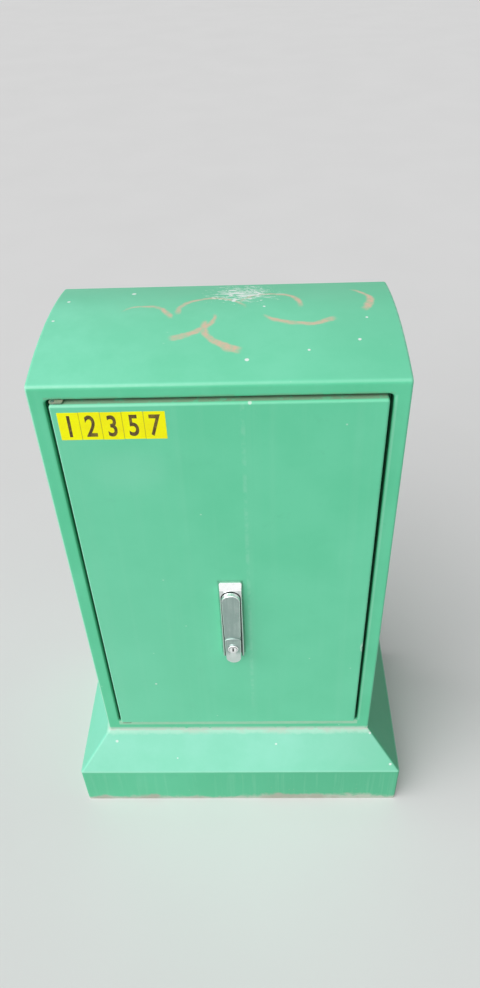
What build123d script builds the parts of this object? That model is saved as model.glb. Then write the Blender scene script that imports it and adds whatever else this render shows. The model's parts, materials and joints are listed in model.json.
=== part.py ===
from build123d import *
import math
import os

os.makedirs("parts", exist_ok=True)

# X to the viewer's right, Y into the cabinet, Z up, origin on the ground under the middle of the plinth

# Housing
housing_width = 500.0
housing_depth = 285.0
fold_height = 972.0
roof_rise = 15.0
housing_wall = 4.0
fold_radius = 7.0
corner_radius = 4.0
base_flange_thickness = 5.0
base_plate_side_gap = 42.0
base_plate_front_gap = 29.5
base_plate_lap = 18.0
base_plate_corner_radius = 6.0

# Plinth
plinth_height = 191.0
plinth_band_height = 101.0
plinth_side_overhang = 64.0
plinth_front_overhang = 41.0
plinth_wall = 5.0
plinth_corner_radius = 5.0
plinth_flange_thickness = 5.0
ground_flange_width = 42.0
ground_bolt_inset = 25.0
ground_bolt_hole = 14.0

# Door opening
frame_side_width = 23.0
frame_sill_height = 26.0
frame_head_height = 20.8
opening_corner_radius = 6.5
opening_roll_radius = 4.0
reveal_depth = 24.0
reveal_wall = 4.0
rebate_width = 20.0
rebate_thickness = 4.0

# Door
door_gap = 6.0
door_head_gap = 3.5
door_proud = 8.0
door_wall = 4.0
door_edge_radius = 3.3
door_corner_radius = 3.8
door_back_chamfer = 1.5
door_rib_height = 9.0
door_rib_thickness = 3.0
door_rib_pivot_distance = 72.0
guide_pad_margin = 1.0
gasket_height = 3.7
gasket_width = 9.0
gasket_clearance = 0.45
gasket_outer_radius = 8.0
gasket_inner_radius = 3.0

# Hinges
hinge_axis_proud = 1.0
hinge_pin_inset = 5.0
hinge_pin_diameter = 3.0
hinge_pin_overrun = 0.5
hinge_pin_tip_gap = 2.0
hinge_head_diameter = 4.4
hinge_collar_diameter = 5.4
hinge_plate_thickness = 2.0
hinge_plate_width = 18.0
hinge_plate_reach = 3.2
hinge_plate_nose_radius = 2.5
hinge_plate_gasket_gap = 0.8
hinge_bush_diameter = 5.6
hinge_bush_length = 14.0
hinge_boss_reach = 8.0
hinge_boss_length = 19.0
hinge_rivet_spacing = 8.0
rivet_diameter = 3.2
rivet_head_diameter = 6.0
rivet_head_height = 0.7
rivet_tail_diameter = 5.1
rivet_tail_height = 1.6

# Swing handle
handle_x = 2.0
pivot_height = 584.5
tray_width = 36.5
tray_rise = 29.0
tray_drop = 146.5
tray_height = 9.5
tray_floor = 2.5
tray_draft = 6.0
tray_corner_radius = 3.0
tray_toe_height = 2.5
tray_slope_length = 12.0
head_radius = 14.5
head_clearance = 1.4
tail_radius = 12.4
lever_drop = 150.6
lever_lift = 0.4
lever_thickness = 8.7
lever_edge_chamfer = 0.9
raised_zone_drop = 87.0
raised_zone_height = 2.0
raised_zone_radius = 24.0
lever_pin_diameter = 3.0
lever_pin_height = 13.0
lever_pin_half_length = 12.3
lever_pin_hole_half_length = 13.3
lug_width = 10.0
lug_radius = 3.8
lug_clearance = 0.4
lug_swing_room = 5.0
heel_relief_start = 5.0
heel_relief_rise = 1.5
hub_disc_radius = 11.0
hub_disc_thickness = 2.0
hub_disc_clearance = 0.3
spindle_diameter = 14.0
spindle_square = 9.0
boss_diameter = 22.0
boss_length = 14.0
handle_nut_size = 32.0
handle_nut_thickness = 5.0
stud_diameter = 6.0
stud_length = 12.0
stud_height_above_bottom = 18.0
stud_nut_size = 10.0
stud_nut_thickness = 5.0
lock_drop = 111.8
lock_circle_diameter = 17.0
lock_tail_width = 10.0
lock_tail_reach = 24.5
lock_proud = 2.5
lock_edge_chamfer = 0.4
plug_diameter = 13.4
plug_proud = 0.5
lock_floor_gap = 0.2
plug_floor_gap = 0.5
keyway_width = 1.6
keyway_height = 8.0
keyway_depth = 4.0

# Rod lock
rod_width = 20.0
rod_thickness = 3.0
rod_spacing = 4.0
rod_rebate_clearance = 2.0
rod_end_clearance = 9.0
rod_pin_margin = 5.0
rod_end_chamfer = 4.0
cam_thickness = 4.0
cam_radius = 20.0
cam_clearance = 0.5
drive_radius = 14.0
drive_pin_diameter = 6.0
drive_slot_clearance = 0.6
drive_head_diameter = 10.0
drive_head_height = 1.5
spindle_square_clearance = 0.02
guide_end_distance = 55.0
guide_pivot_distance = 114.5
guide_length = 14.0
guide_wall = 4.0
guide_foot_width = 50.0
guide_foot_thickness = 3.0
guide_clearance = 0.3
guide_pad_height = 5.0
guide_screw_spacing = 42.0
small_screw_diameter = 3.6
small_screw_head = 7.0
small_screw_head_height = 2.4

# Gear inside
boss_height = 10.0
gear_boss_diameter = 26.0
rail_height = 30.0
rail_depth = 15.0
rail_wall = 2.0
rail_side_gap = 35.0
rail_bolt_end_distance = 30.0
rail_bolt_diameter = 6.0
rail_bolt_clearance = 0.6
rail_bolt_tip_gap = 2.0
lower_rail_share = 0.5045
upper_rail_share = 0.8758
module_frame_width = 96.0
module_frame_depth = 23.5
module_frame_sheet = 1.5
module_frame_overrun = 25.0
module_column_share = 0.21
module_foot_share = 0.7
frame_window_count = 4
frame_window_width = 62.4
frame_window_share = 0.5
modules_per_column = 6
module_pitch = 25.0
module_width = 104.0
module_height = 21.0
module_body_depth = 33.0
module_foot_depth = 16.0
module_top_margin = 52.0
module_edge_chamfer = 1.5
module_end_margin = 7.0
module_foot_clearance = 0.3
contacts_per_row = 10
contact_slot_width = 3.0
contact_slot_height = 6.5
contact_slot_depth = 5.0
frame_screw_diameter = 5.0
frame_screw_head = 9.0
frame_screw_head_height = 3.0
strap_width = 22.0
strap_thickness = 3.0
ring_count = 4
ring_width = 44.0
ring_reach = 46.0
ring_bar = 3.0
ring_corner_radius = 8.0
earth_bar_length = 220.0
earth_bar_height = 20.0
earth_bar_thickness = 5.0
earth_bar_drop = 85.0
earth_screw_count = 8
earth_screw_diameter = 4.8
earth_screw_head = 8.0
earth_screw_head_height = 4.0
earth_screw_span_share = 0.7
earth_fixing_share = 0.42
clamp_bar_rise = 99.0
clamp_bar_height = 30.0
clamp_bar_depth = 20.0
clamp_bar_wall = 2.0
clamp_bar_y = 30.0
clamp_slot_count = 9
clamp_slot_margin = 40.0
clamp_slot_share = 0.6
clamp_slot_height = 8.0
clamp_pad_height = 8.0
clamp_pad_size = 56.0
clamp_end_plate = 3.0

# Base plate and cable glands
base_plate_thickness = 3.0
gland_count = 3
gland_spacing = 110.0
gland_cable_diameter = 34.0
gland_neck_diameter = 46.0
gland_rim_diameter = 58.0
gland_rim_height = 4.0
gland_cone_height = 10.0
gland_lip = 3.0
gland_fit = 0.2
base_bolt_diameter = 8.0
base_bolt_inset = 28.0
base_bolt_tail = 10.0
bolt_hole_clearance = 1.0
hex_share = 1.6
bolt_head_share = 0.65
nut_height_share = 0.8

# Fits that several pieces share
running_clearance = 0.05
thread_clearance = 0.1
screw_hole_clearance = 0.4
screw_tip_gap = 1.0
seat_overlap = 0.5
touch = 0.01

# Derived places
opening_width = housing_width - 2 * frame_side_width
opening_bottom = plinth_height + frame_sill_height
opening_top = fold_height - frame_head_height
front_y = -housing_depth / 2
back_inner_y = housing_depth / 2 - housing_wall
side_inner_x = housing_width / 2 - housing_wall
housing_floor_z = plinth_height + base_flange_thickness
door_face_y = front_y - door_proud
door_inner_y = door_face_y + door_wall
rebate_front_y = front_y + reveal_depth
rebate_back_y = rebate_front_y + rebate_thickness
door_edge_y = rebate_front_y - gasket_height - gasket_clearance
door_half_width = opening_width / 2 - door_gap
door_bottom = opening_bottom + door_gap
door_top = opening_top - door_head_gap
rebate_inner_top = opening_top - rebate_width
rebate_inner_bottom = opening_bottom + rebate_width
rod_front_y = rebate_back_y + rod_rebate_clearance
rod_back_y = rod_front_y + rod_thickness
cam_back_y = rod_front_y - cam_clearance
cam_front_y = cam_back_y - cam_thickness
drive_offset = drive_radius * math.sin(math.radians(45))
hinge_x = -door_half_width + hinge_pin_inset
hinge_y = front_y - hinge_axis_proud
hinge_plate_left = -opening_width / 2 + opening_corner_radius
hinge_plate_back = rebate_front_y - gasket_height - hinge_plate_gasket_gap
rail_back_y = back_inner_y - boss_height
rail_front_y = rail_back_y - rail_depth
module_frame_front_y = rail_front_y - module_frame_depth
base_plate_half_x = housing_width / 2 - base_plate_side_gap
base_plate_half_y = housing_depth / 2 - base_plate_front_gap
base_hole_half_x = base_plate_half_x - base_plate_lap
base_hole_half_y = base_plate_half_y - base_plate_lap
tray_top = pivot_height + tray_rise
tray_bottom = pivot_height - tray_drop
lever_bottom = pivot_height - lever_drop
raised_zone_top = pivot_height - raised_zone_drop
lock_height = pivot_height - lock_drop
housing_height = fold_height - plinth_height
rail_half_length = housing_width / 2 - rail_side_gap
rail_bolt_x = rail_half_length - rail_bolt_end_distance
lower_rail_level = plinth_height + housing_height * lower_rail_share
upper_rail_level = plinth_height + housing_height * upper_rail_share
rail_levels = (lower_rail_level, upper_rail_level)
module_column_x = housing_width * module_column_share
earth_bar_level = lower_rail_level - earth_bar_drop
earth_fixing_x = earth_bar_length * earth_fixing_share
clamp_bar_level = plinth_height + clamp_bar_rise


def block(x0, x1, y0, y1, z0, z1):
    middle = Pos((x0 + x1) / 2, (y0 + y1) / 2, (z0 + z1) / 2)
    return middle * Box(abs(x1 - x0), abs(y1 - y0), abs(z1 - z0))


def bar_x(y, z, diameter, x0, x1):
    return Pos((x0 + x1) / 2, y, z) * Rot(0, 90, 0) * Cylinder(diameter / 2, abs(x1 - x0))


def bar_y(x, z, diameter, y0, y1):
    return Pos(x, (y0 + y1) / 2, z) * Rot(90, 0, 0) * Cylinder(diameter / 2, abs(y1 - y0))


def bar_z(x, y, diameter, z0, z1):
    return Pos(x, y, (z0 + z1) / 2) * Cylinder(diameter / 2, abs(z1 - z0))


def from_front(outline, y0, y1):
    """Extrude an outline drawn as seen from the front, x right and z up, from y0 back to y1."""
    plane = Plane((0, y0, 0), x_dir=(1, 0, 0), z_dir=(0, -1, 0))
    return extrude(plane * outline, -(y1 - y0))


def rounded_panel(x0, x1, z0, z1, radius, y0, y1):
    outline = Pos((x0 + x1) / 2, (z0 + z1) / 2) * RectangleRounded(x1 - x0, z1 - z0, radius)
    return from_front(outline, y0, y1)


def hex_y(x, z, size, y0, y1):
    return from_front(Pos(x, z) * RegularPolygon(size / 2, 6, major_radius=False), y0, y1)


def hex_z(x, y, size, z0, z1):
    return Pos(x, y, z0) * extrude(RegularPolygon(size / 2, 6, major_radius=False), z1 - z0)


def edges_at(shape, axis, place):
    """The edges that lie wholly at one place along an axis."""
    found = []
    for e in shape.edges():
        if all(abs(getattr(p, axis) - place) < touch for p in (e @ 0, e @ 0.5, e @ 1)):
            found.append(e)
    return found


def save(name, shape):
    export_step(shape, "parts/" + name + ".step")


# Housing: one moulding with a curved roof, a front frame rolled into the reveal, and a rebate for the seal

def arched_body(width, half_depth, base_z, edge_z, rise, edge_radius, side_radius):
    foot = Polyline((-half_depth, edge_z), (-half_depth, base_z), (half_depth, base_z), (half_depth, edge_z))
    roof = ThreePointArc((half_depth, edge_z), (0, edge_z + rise), (-half_depth, edge_z))
    body = extrude(Plane.YZ * make_face(foot + roof), width / 2, both=True)
    body = fillet(edges_at(body, "Z", edge_z), edge_radius)
    rims = edges_at(body, "X", width / 2) + edges_at(body, "X", -width / 2)
    rims = [e for e in rims if (e @ 0.5).Z > base_z + 1]
    return fillet(rims, side_radius)


def make_housing():
    half_depth = housing_depth / 2
    roof_radius = (half_depth ** 2 + roof_rise ** 2) / (2 * roof_rise)
    roof_centre_z = fold_height + roof_rise - roof_radius
    inner_half_depth = half_depth - housing_wall
    inner_radius = roof_radius - housing_wall
    inner_edge_z = roof_centre_z + math.sqrt(inner_radius ** 2 - inner_half_depth ** 2)
    inner_rise = roof_centre_z + inner_radius - inner_edge_z
    outer = arched_body(housing_width, half_depth, plinth_height, fold_height, roof_rise,
                        fold_radius, corner_radius)
    inner = arched_body(housing_width - 2 * housing_wall, inner_half_depth, housing_floor_z, inner_edge_z,
                        inner_rise, fold_radius - housing_wall / 2, corner_radius / 2)
    shell = outer - inner
    half = opening_width / 2
    frame_x = half + reveal_wall
    frame = block(-frame_x, frame_x, front_y + housing_wall / 2, rebate_back_y,
                  opening_bottom - reveal_wall, opening_top + reveal_wall)
    shell = shell + frame
    shell = shell - rounded_panel(-half, half, opening_bottom, opening_top, opening_corner_radius,
                                  front_y - 1, rebate_front_y)
    shell = shell - rounded_panel(-half + rebate_width, half - rebate_width, rebate_inner_bottom,
                                  rebate_inner_top, opening_corner_radius, rebate_front_y - 1,
                                  rebate_back_y + 1)
    mouth = [e for e in edges_at(shell, "Y", front_y) if abs((e @ 0.5).X) < half + 1
             and opening_bottom - 1 < (e @ 0.5).Z < opening_top + 1]
    shell = fillet(mouth, opening_roll_radius)
    shell = shell - block(-base_hole_half_x, base_hole_half_x, -base_hole_half_y, base_hole_half_y,
                          plinth_height - 1, housing_floor_z + 1)
    for level in rail_levels:
        for side in (-1, 1):
            x = side * rail_bolt_x
            shell = shell + bar_y(x, level, gear_boss_diameter, rail_back_y, back_inner_y + housing_wall / 2)
            shell = shell - bar_y(x, level, rail_bolt_diameter, rail_back_y - 1, back_inner_y)
    for side in (-1, 1):
        x = side * earth_fixing_x
        shell = shell + bar_y(x, earth_bar_level, earth_bar_height, rail_back_y,
                              back_inner_y + housing_wall / 2)
        shell = shell - bar_y(x, earth_bar_level, small_screw_diameter, rail_back_y - 1, back_inner_y)
        pad_face = side * (side_inner_x - clamp_pad_height)
        shell = shell + block(pad_face, side * (side_inner_x + housing_wall / 2),
                              clamp_bar_y - clamp_pad_size / 2, clamp_bar_y + clamp_pad_size / 2,
                              clamp_bar_level - clamp_pad_size / 3, clamp_bar_level + clamp_pad_size / 3)
        for y in clamp_screw_places():
            shell = shell - bar_x(y, clamp_bar_level, small_screw_diameter, pad_face - side,
                                  side * side_inner_x)
    drills = [bar_z(x, y, base_bolt_diameter + bolt_hole_clearance, plinth_height - 1, housing_floor_z + 1)
              for x, y in base_bolt_places()]
    drills += [bar_z(x, y, small_screw_diameter, plinth_height - 1, housing_floor_z + 1)
               for x, y in base_plate_screw_places()]
    for end in (-1, 1):
        frame_z = hinge_faces(end)[0]
        for x, y in hinge_rivet_places():
            drills.append(bar_z(x, y, rivet_diameter, frame_z - end, frame_z + end * (reveal_wall + 1)))
    return shell - drills


def clamp_screw_places():
    reach = clamp_pad_size / 2 - small_screw_head
    return (clamp_bar_y - reach, clamp_bar_y + reach)


def base_bolt_places():
    x = housing_width / 2 - base_bolt_inset
    y = housing_depth / 2 - base_bolt_inset
    return [(sx * x, sy * y) for sx in (-1, 1) for sy in (-1, 1)]


def base_plate_screw_places():
    x = base_plate_half_x - base_plate_lap / 2
    return [(sx * x, sy * base_hole_half_y * 2 / 3) for sx in (-1, 1) for sy in (-1, 1)]


# Plinth: flared skirt, open below, with a flange at the top for the housing and one at the ground

def flared_body(inset, bottom_z, top_z, radius):
    wide_x = housing_width / 2 + plinth_side_overhang - inset
    wide_y = housing_depth / 2 + plinth_front_overhang - inset
    slim_x = housing_width / 2 - inset
    slim_y = housing_depth / 2 - inset
    band = Pos(0, 0, bottom_z) * extrude(RectangleRounded(2 * wide_x, 2 * wide_y, radius),
                                         plinth_band_height - bottom_z)
    lower = Pos(0, 0, plinth_band_height) * RectangleRounded(2 * wide_x, 2 * wide_y, radius)
    upper = Pos(0, 0, top_z) * RectangleRounded(2 * slim_x, 2 * slim_y, radius)
    return band + loft([lower, upper], ruled=True)


def make_plinth():
    outer = flared_body(0, 0, plinth_height, plinth_corner_radius)
    inner = flared_body(plinth_wall, -1, plinth_height, plinth_corner_radius - 2)
    ceiling = block(-housing_width, housing_width, -housing_depth, housing_depth,
                    plinth_height - plinth_flange_thickness, plinth_height + 1)
    shell = outer - (inner - ceiling)
    shell = shell - block(-base_hole_half_x, base_hole_half_x, -base_hole_half_y, base_hole_half_y,
                          plinth_height - plinth_flange_thickness - 1, plinth_height + 1)
    outer_x = housing_width / 2 + plinth_side_overhang
    outer_y = housing_depth / 2 + plinth_front_overhang
    inner_x = outer_x - ground_flange_width
    inner_y = outer_y - ground_flange_width
    bite = plinth_wall / 2
    flange = block(-outer_x + bite, outer_x - bite, -outer_y + bite, outer_y - bite,
                   0, plinth_flange_thickness)
    flange = flange - block(-inner_x, inner_x, -inner_y, inner_y, -1, plinth_flange_thickness + 1)
    shell = shell + (flange & outer)
    for sx in (-1, 1):
        for sy in (-1, 1):
            shell = shell - bar_z(sx * (outer_x - ground_bolt_inset), sy * (outer_y - ground_bolt_inset),
                                  ground_bolt_hole, -1, plinth_flange_thickness + 1)
    for x, y in base_bolt_places():
        shell = shell - bar_z(x, y, base_bolt_diameter + bolt_hole_clearance,
                              plinth_height - plinth_flange_thickness - 1, plinth_height + 1)
    return shell


def make_base_bolts():
    head = base_bolt_diameter * hex_share
    solids = []
    for x, y in base_bolt_places():
        top = housing_floor_z
        bolt = hex_z(x, y, head, top, top + base_bolt_diameter * bolt_head_share)
        tip = plinth_height - plinth_flange_thickness - base_bolt_tail
        bolt = bolt + bar_z(x, y, base_bolt_diameter, tip, top + seat_overlap)
        solids.append(bolt)
    return Compound(children=solids)


def make_base_nuts():
    top = plinth_height - plinth_flange_thickness
    solids = []
    for x, y in base_bolt_places():
        low = top - base_bolt_diameter * nut_height_share
        nut = hex_z(x, y, base_bolt_diameter * hex_share, low, top)
        solids.append(nut - bar_z(x, y, base_bolt_diameter + thread_clearance, low - 1, top + 1))
    return Compound(children=solids)


# Base plate and rubber glands

def gland_places():
    return [(i - (gland_count - 1) / 2) * gland_spacing for i in range(gland_count)]


def make_base_plate():
    top = housing_floor_z + base_plate_thickness
    outline = RectangleRounded(2 * base_plate_half_x, 2 * base_plate_half_y, base_plate_corner_radius)
    plate = Pos(0, 0, housing_floor_z) * extrude(outline, base_plate_thickness)
    for gx in gland_places():
        plate = plate - bar_z(gx, 0, gland_neck_diameter, housing_floor_z - 1, top + 1)
    for sx, sy in base_plate_screw_places():
        plate = plate - bar_z(sx, sy, small_screw_diameter + screw_hole_clearance,
                              housing_floor_z - 1, top + 1)
    return plate


def make_base_plate_screws():
    top = housing_floor_z + base_plate_thickness
    screws = []
    for x, y in base_plate_screw_places():
        head = bar_z(x, y, small_screw_head, top, top + small_screw_head_height)
        screws.append(head + bar_z(x, y, small_screw_diameter - thread_clearance,
                                   plinth_height + seat_overlap, top + seat_overlap))
    return Compound(children=screws)


def make_gland(gx):
    top = housing_floor_z + base_plate_thickness
    low = housing_floor_z
    rim = gland_rim_diameter
    body = bar_z(gx, 0, gland_neck_diameter - gland_fit, low - gland_rim_height, top + gland_rim_height)
    body = body + bar_z(gx, 0, rim, top, top + gland_rim_height)
    body = body + bar_z(gx, 0, rim, low - gland_rim_height, low)
    cone = Cone(gland_neck_diameter / 2, gland_cable_diameter / 2 + gland_lip, gland_cone_height)
    body = body + Pos(gx, 0, top + gland_rim_height + gland_cone_height / 2) * cone
    mouth = top + gland_rim_height + gland_cone_height + 1
    return body - bar_z(gx, 0, gland_cable_diameter, low - gland_rim_height - 1, mouth)


# Seal on the rebate

def make_gasket():
    centre = door_half_width - door_wall / 2
    low = door_bottom + door_wall / 2
    high = door_top - door_wall / 2
    reach = gasket_width / 2
    back = rebate_front_y
    front = rebate_front_y - gasket_height
    ring = rounded_panel(-centre - reach, centre + reach, low - reach, high + reach,
                         gasket_outer_radius, front, back)
    ring = ring - rounded_panel(-centre + reach, centre - reach, low + reach, high - reach,
                                gasket_inner_radius, front - 1, back + 1)
    return chamfer(edges_at(ring, "Y", front), gasket_height / 3)


# Door: shallow moulded pan with returned edges, inner ribs and pads for the rod guides

def make_door():
    door = rounded_panel(-door_half_width, door_half_width, door_bottom, door_top, door_corner_radius,
                         door_face_y, door_edge_y)
    door = fillet(edges_at(door, "Y", door_face_y), door_edge_radius)
    door = chamfer(edges_at(door, "Y", door_edge_y), door_back_chamfer)
    door = door - rounded_panel(-door_half_width + door_wall, door_half_width - door_wall,
                                door_bottom + door_wall, door_top - door_wall, door_corner_radius / 2,
                                door_inner_y, door_edge_y + 1)
    span = door_half_width - door_wall / 2
    half_rib = door_rib_thickness / 2
    for z in door_rib_levels():
        door = door + block(-span, span, door_inner_y - 1, door_inner_y + door_rib_height,
                            z - half_rib, z + half_rib)
    for x in (-span / 2, span / 2):
        door = door + block(x - half_rib, x + half_rib, door_inner_y - 1, door_inner_y + door_rib_height,
                            door_bottom + door_wall / 2, door_top - door_wall / 2)
    for z, x in guide_places():
        half = guide_foot_width / 2 + guide_pad_margin
        half_height = guide_length / 2 + guide_pad_margin
        door = door + block(x - half, x + half, door_inner_y - 1, door_inner_y + guide_pad_height,
                            z - half_height, z + half_height)
    for z, x in guide_places():
        for side in (-1, 1):
            door = door - bar_y(x + side * guide_screw_spacing / 2, z, small_screw_diameter,
                                door_inner_y - 1, door_inner_y + guide_pad_height + 1)
    for z, size in ((pivot_height, boss_diameter), (stud_z(), stud_diameter)):
        door = door - bar_y(handle_x, z, size + screw_hole_clearance, door_face_y - 1, door_inner_y + 1)
    for end in (-1, 1):
        door_z = hinge_faces(end)[1]
        door = door + block(-door_half_width + door_wall / 2, hinge_x + hinge_boss_reach,
                            door_face_y + door_wall / 2, hinge_y + hinge_boss_reach,
                            door_z - end * door_wall / 2, door_z - end * hinge_boss_length)
        door = door - bar_z(hinge_x, hinge_y, hinge_bush_diameter + thread_clearance, door_z + end,
                            door_z - end * hinge_bush_length)
    return door


def door_rib_levels():
    """Ribs across the door: one between the guides of each rod, and one on each side of the handle."""
    low, low_inner, high_inner, high = [z for z, x in guide_places()]
    near = door_rib_pivot_distance
    return [(low + low_inner) / 2, pivot_height - near, pivot_height + near, (high_inner + high) / 2]


def stud_z():
    return tray_bottom + stud_height_above_bottom


# Hinges: a pin in a bracket on the frame turns in a bush in the door's corner, one above and one below

def hinge_faces(end):
    """The frame's face and the door's face at the lower hinge (-1) or the upper one (1)."""
    return (opening_bottom, door_bottom) if end < 0 else (opening_top, door_top)


def hinge_rivet_places():
    middle_x = hinge_plate_left + hinge_plate_width / 2 + rivet_head_diameter / 4
    y = hinge_plate_back - rivet_head_diameter
    return [(middle_x - hinge_rivet_spacing / 2, y), (middle_x + hinge_rivet_spacing / 2, y)]


def make_hinge_bracket(end):
    frame_z = hinge_faces(end)[0]
    inner_z = frame_z - end * hinge_plate_thickness
    plate = block(hinge_plate_left, hinge_plate_left + hinge_plate_width, hinge_y - hinge_plate_reach,
                  hinge_plate_back, frame_z, inner_z)
    nose = [e for e in plate.edges().filter_by(Axis.Z) if (e @ 0.5).Y < hinge_y]
    plate = fillet(nose, hinge_plate_nose_radius)
    plate = plate - bar_z(hinge_x, hinge_y, hinge_pin_diameter + 2 * running_clearance,
                          frame_z + end, inner_z - end)
    for x, y in hinge_rivet_places():
        plate = plate - bar_z(x, y, rivet_diameter, frame_z + end, inner_z - end)
    return plate


def make_hinge_pin(end):
    """The pin's head is set over the bracket's outer face, and its collar fills the gap to the door."""
    frame_z, door_z = hinge_faces(end)
    top = frame_z + end * hinge_pin_overrun
    tip = door_z - end * (hinge_bush_length - hinge_pin_tip_gap)
    pin = bar_z(hinge_x, hinge_y, hinge_pin_diameter, tip, top)
    pin = pin + bar_z(hinge_x, hinge_y, hinge_head_diameter, frame_z, top)
    return pin + bar_z(hinge_x, hinge_y, hinge_collar_diameter, door_z + end * running_clearance,
                       frame_z - end * hinge_plate_thickness)


def make_hinge_bush(end):
    door_z = hinge_faces(end)[1]
    bush = bar_z(hinge_x, hinge_y, hinge_bush_diameter, door_z, door_z - end * hinge_bush_length)
    return bush - bar_z(hinge_x, hinge_y, hinge_pin_diameter + 2 * running_clearance, door_z + end,
                        door_z - end * (hinge_bush_length + 1))


def rivet_z(x, y, head_z, tail_z):
    """A blind rivet whose flat head lies against head_z and whose tail is set beyond tail_z."""
    way = 1 if tail_z > head_z else -1
    head = bar_z(x, y, rivet_head_diameter, head_z - way * rivet_head_height, head_z)
    shank = bar_z(x, y, rivet_diameter - thread_clearance, head_z - way * rivet_head_height / 2,
                  tail_z + way * rivet_tail_height / 2)
    tail = bar_z(x, y, rivet_tail_diameter, tail_z, tail_z + way * rivet_tail_height)
    return head + shank + tail


def make_hinge_rivets():
    rivets = []
    for end in (-1, 1):
        frame_z = hinge_faces(end)[0]
        for x, y in hinge_rivet_places():
            rivets.append(rivet_z(x, y, frame_z - end * hinge_plate_thickness, frame_z + end * reveal_wall))
    return Compound(children=rivets)


# Swing handle: places are given as heights in front of the door's face

def out_y(height):
    return door_face_y - height


def make_tray():
    middle = (tray_top + tray_bottom) / 2
    outline = RectangleRounded(tray_width, tray_top - tray_bottom, tray_corner_radius)
    plane = Plane((0, door_face_y, 0), x_dir=(1, 0, 0), z_dir=(0, -1, 0))
    tray = extrude(plane * Pos(handle_x, middle) * outline, tray_height, taper=tray_draft)
    above = out_y(2 * tray_height)
    slope = Polyline((out_y(tray_toe_height), tray_top + 1), (out_y(tray_toe_height), tray_top),
                     (out_y(tray_height), tray_top - tray_slope_length),
                     (above, tray_top - tray_slope_length), (above, tray_top + 1), close=True)
    tray = tray - Pos(handle_x, 0, 0) * extrude(Plane.YZ * make_face(slope), tray_width, both=True)
    pocket = lever_outline(head_clearance)
    tail_z = lever_bottom + tail_radius
    run = tail_z - tray_bottom + tray_corner_radius
    pocket = pocket + Pos(handle_x, tail_z - run / 2) * Rectangle(2 * (tail_radius + head_clearance), run)
    tray = tray - from_front(pocket, out_y(tray_height + 1), out_y(tray_floor))
    back = door_face_y + boss_length
    tray = tray + bar_y(handle_x, pivot_height, boss_diameter, out_y(tray_floor / 2), back)
    tray = tray - bar_y(handle_x, pivot_height, spindle_diameter, out_y(tray_height), back + 1)
    return tray + bar_y(handle_x, stud_z(), stud_diameter, out_y(tray_floor / 2), door_face_y + stud_length)


def make_handle_nut():
    nut = hex_y(handle_x, pivot_height, handle_nut_size, door_inner_y, door_inner_y + handle_nut_thickness)
    return nut - bar_y(handle_x, pivot_height, boss_diameter + thread_clearance, door_inner_y - 1,
                       door_inner_y + handle_nut_thickness + 1)


def make_stud_nut():
    nut = hex_y(handle_x, stud_z(), stud_nut_size, door_inner_y, door_inner_y + stud_nut_thickness)
    return nut - bar_y(handle_x, stud_z(), stud_diameter + thread_clearance, door_inner_y - 1,
                       door_inner_y + stud_nut_thickness + 1)


def make_hub():
    disc_low = tray_floor + hub_disc_clearance
    disc_high = disc_low + hub_disc_thickness
    hub = bar_y(handle_x, pivot_height, 2 * hub_disc_radius, out_y(disc_high), out_y(disc_low))
    hub = hub + bar_y(handle_x, pivot_height, spindle_diameter - 2 * running_clearance,
                      out_y(disc_low + hub_disc_thickness / 2), cam_front_y)
    half = spindle_square / 2
    hub = hub + block(handle_x - half, handle_x + half, cam_front_y - 1, cam_back_y,
                      pivot_height - half, pivot_height + half)
    lug_half = lug_width / 2
    pin_y = out_y(lever_pin_height)
    hub = hub + block(handle_x - lug_half, handle_x + lug_half, pin_y, out_y(disc_high - seat_overlap),
                      pivot_height - lug_radius, pivot_height + lug_radius)
    hub = hub + bar_x(pin_y, pivot_height, 2 * lug_radius, handle_x - lug_half, handle_x + lug_half)
    return hub - bar_x(pin_y, pivot_height, lever_pin_diameter + 2 * running_clearance,
                       handle_x - lug_half - 1, handle_x + lug_half + 1)


def lever_outline(clearance):
    head = Pos(handle_x, pivot_height) * Circle(head_radius + clearance)
    tail = Pos(handle_x, lever_bottom + tail_radius) * Circle(tail_radius + clearance)
    return make_hull(head.edges() + tail.edges())


def lock_outline(clearance):
    radius = lock_circle_diameter / 2 + clearance
    tail_half = lock_tail_width / 2 + clearance
    tail_end = lock_height - lock_tail_reach + lock_circle_diameter / 2
    outline = Pos(handle_x, lock_height) * Circle(radius)
    middle = (lock_height + tail_end) / 2
    outline = outline + Pos(handle_x, middle) * Rectangle(2 * tail_half, lock_height - tail_end)
    return outline + Pos(handle_x, tail_end) * Circle(tail_half)


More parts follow.
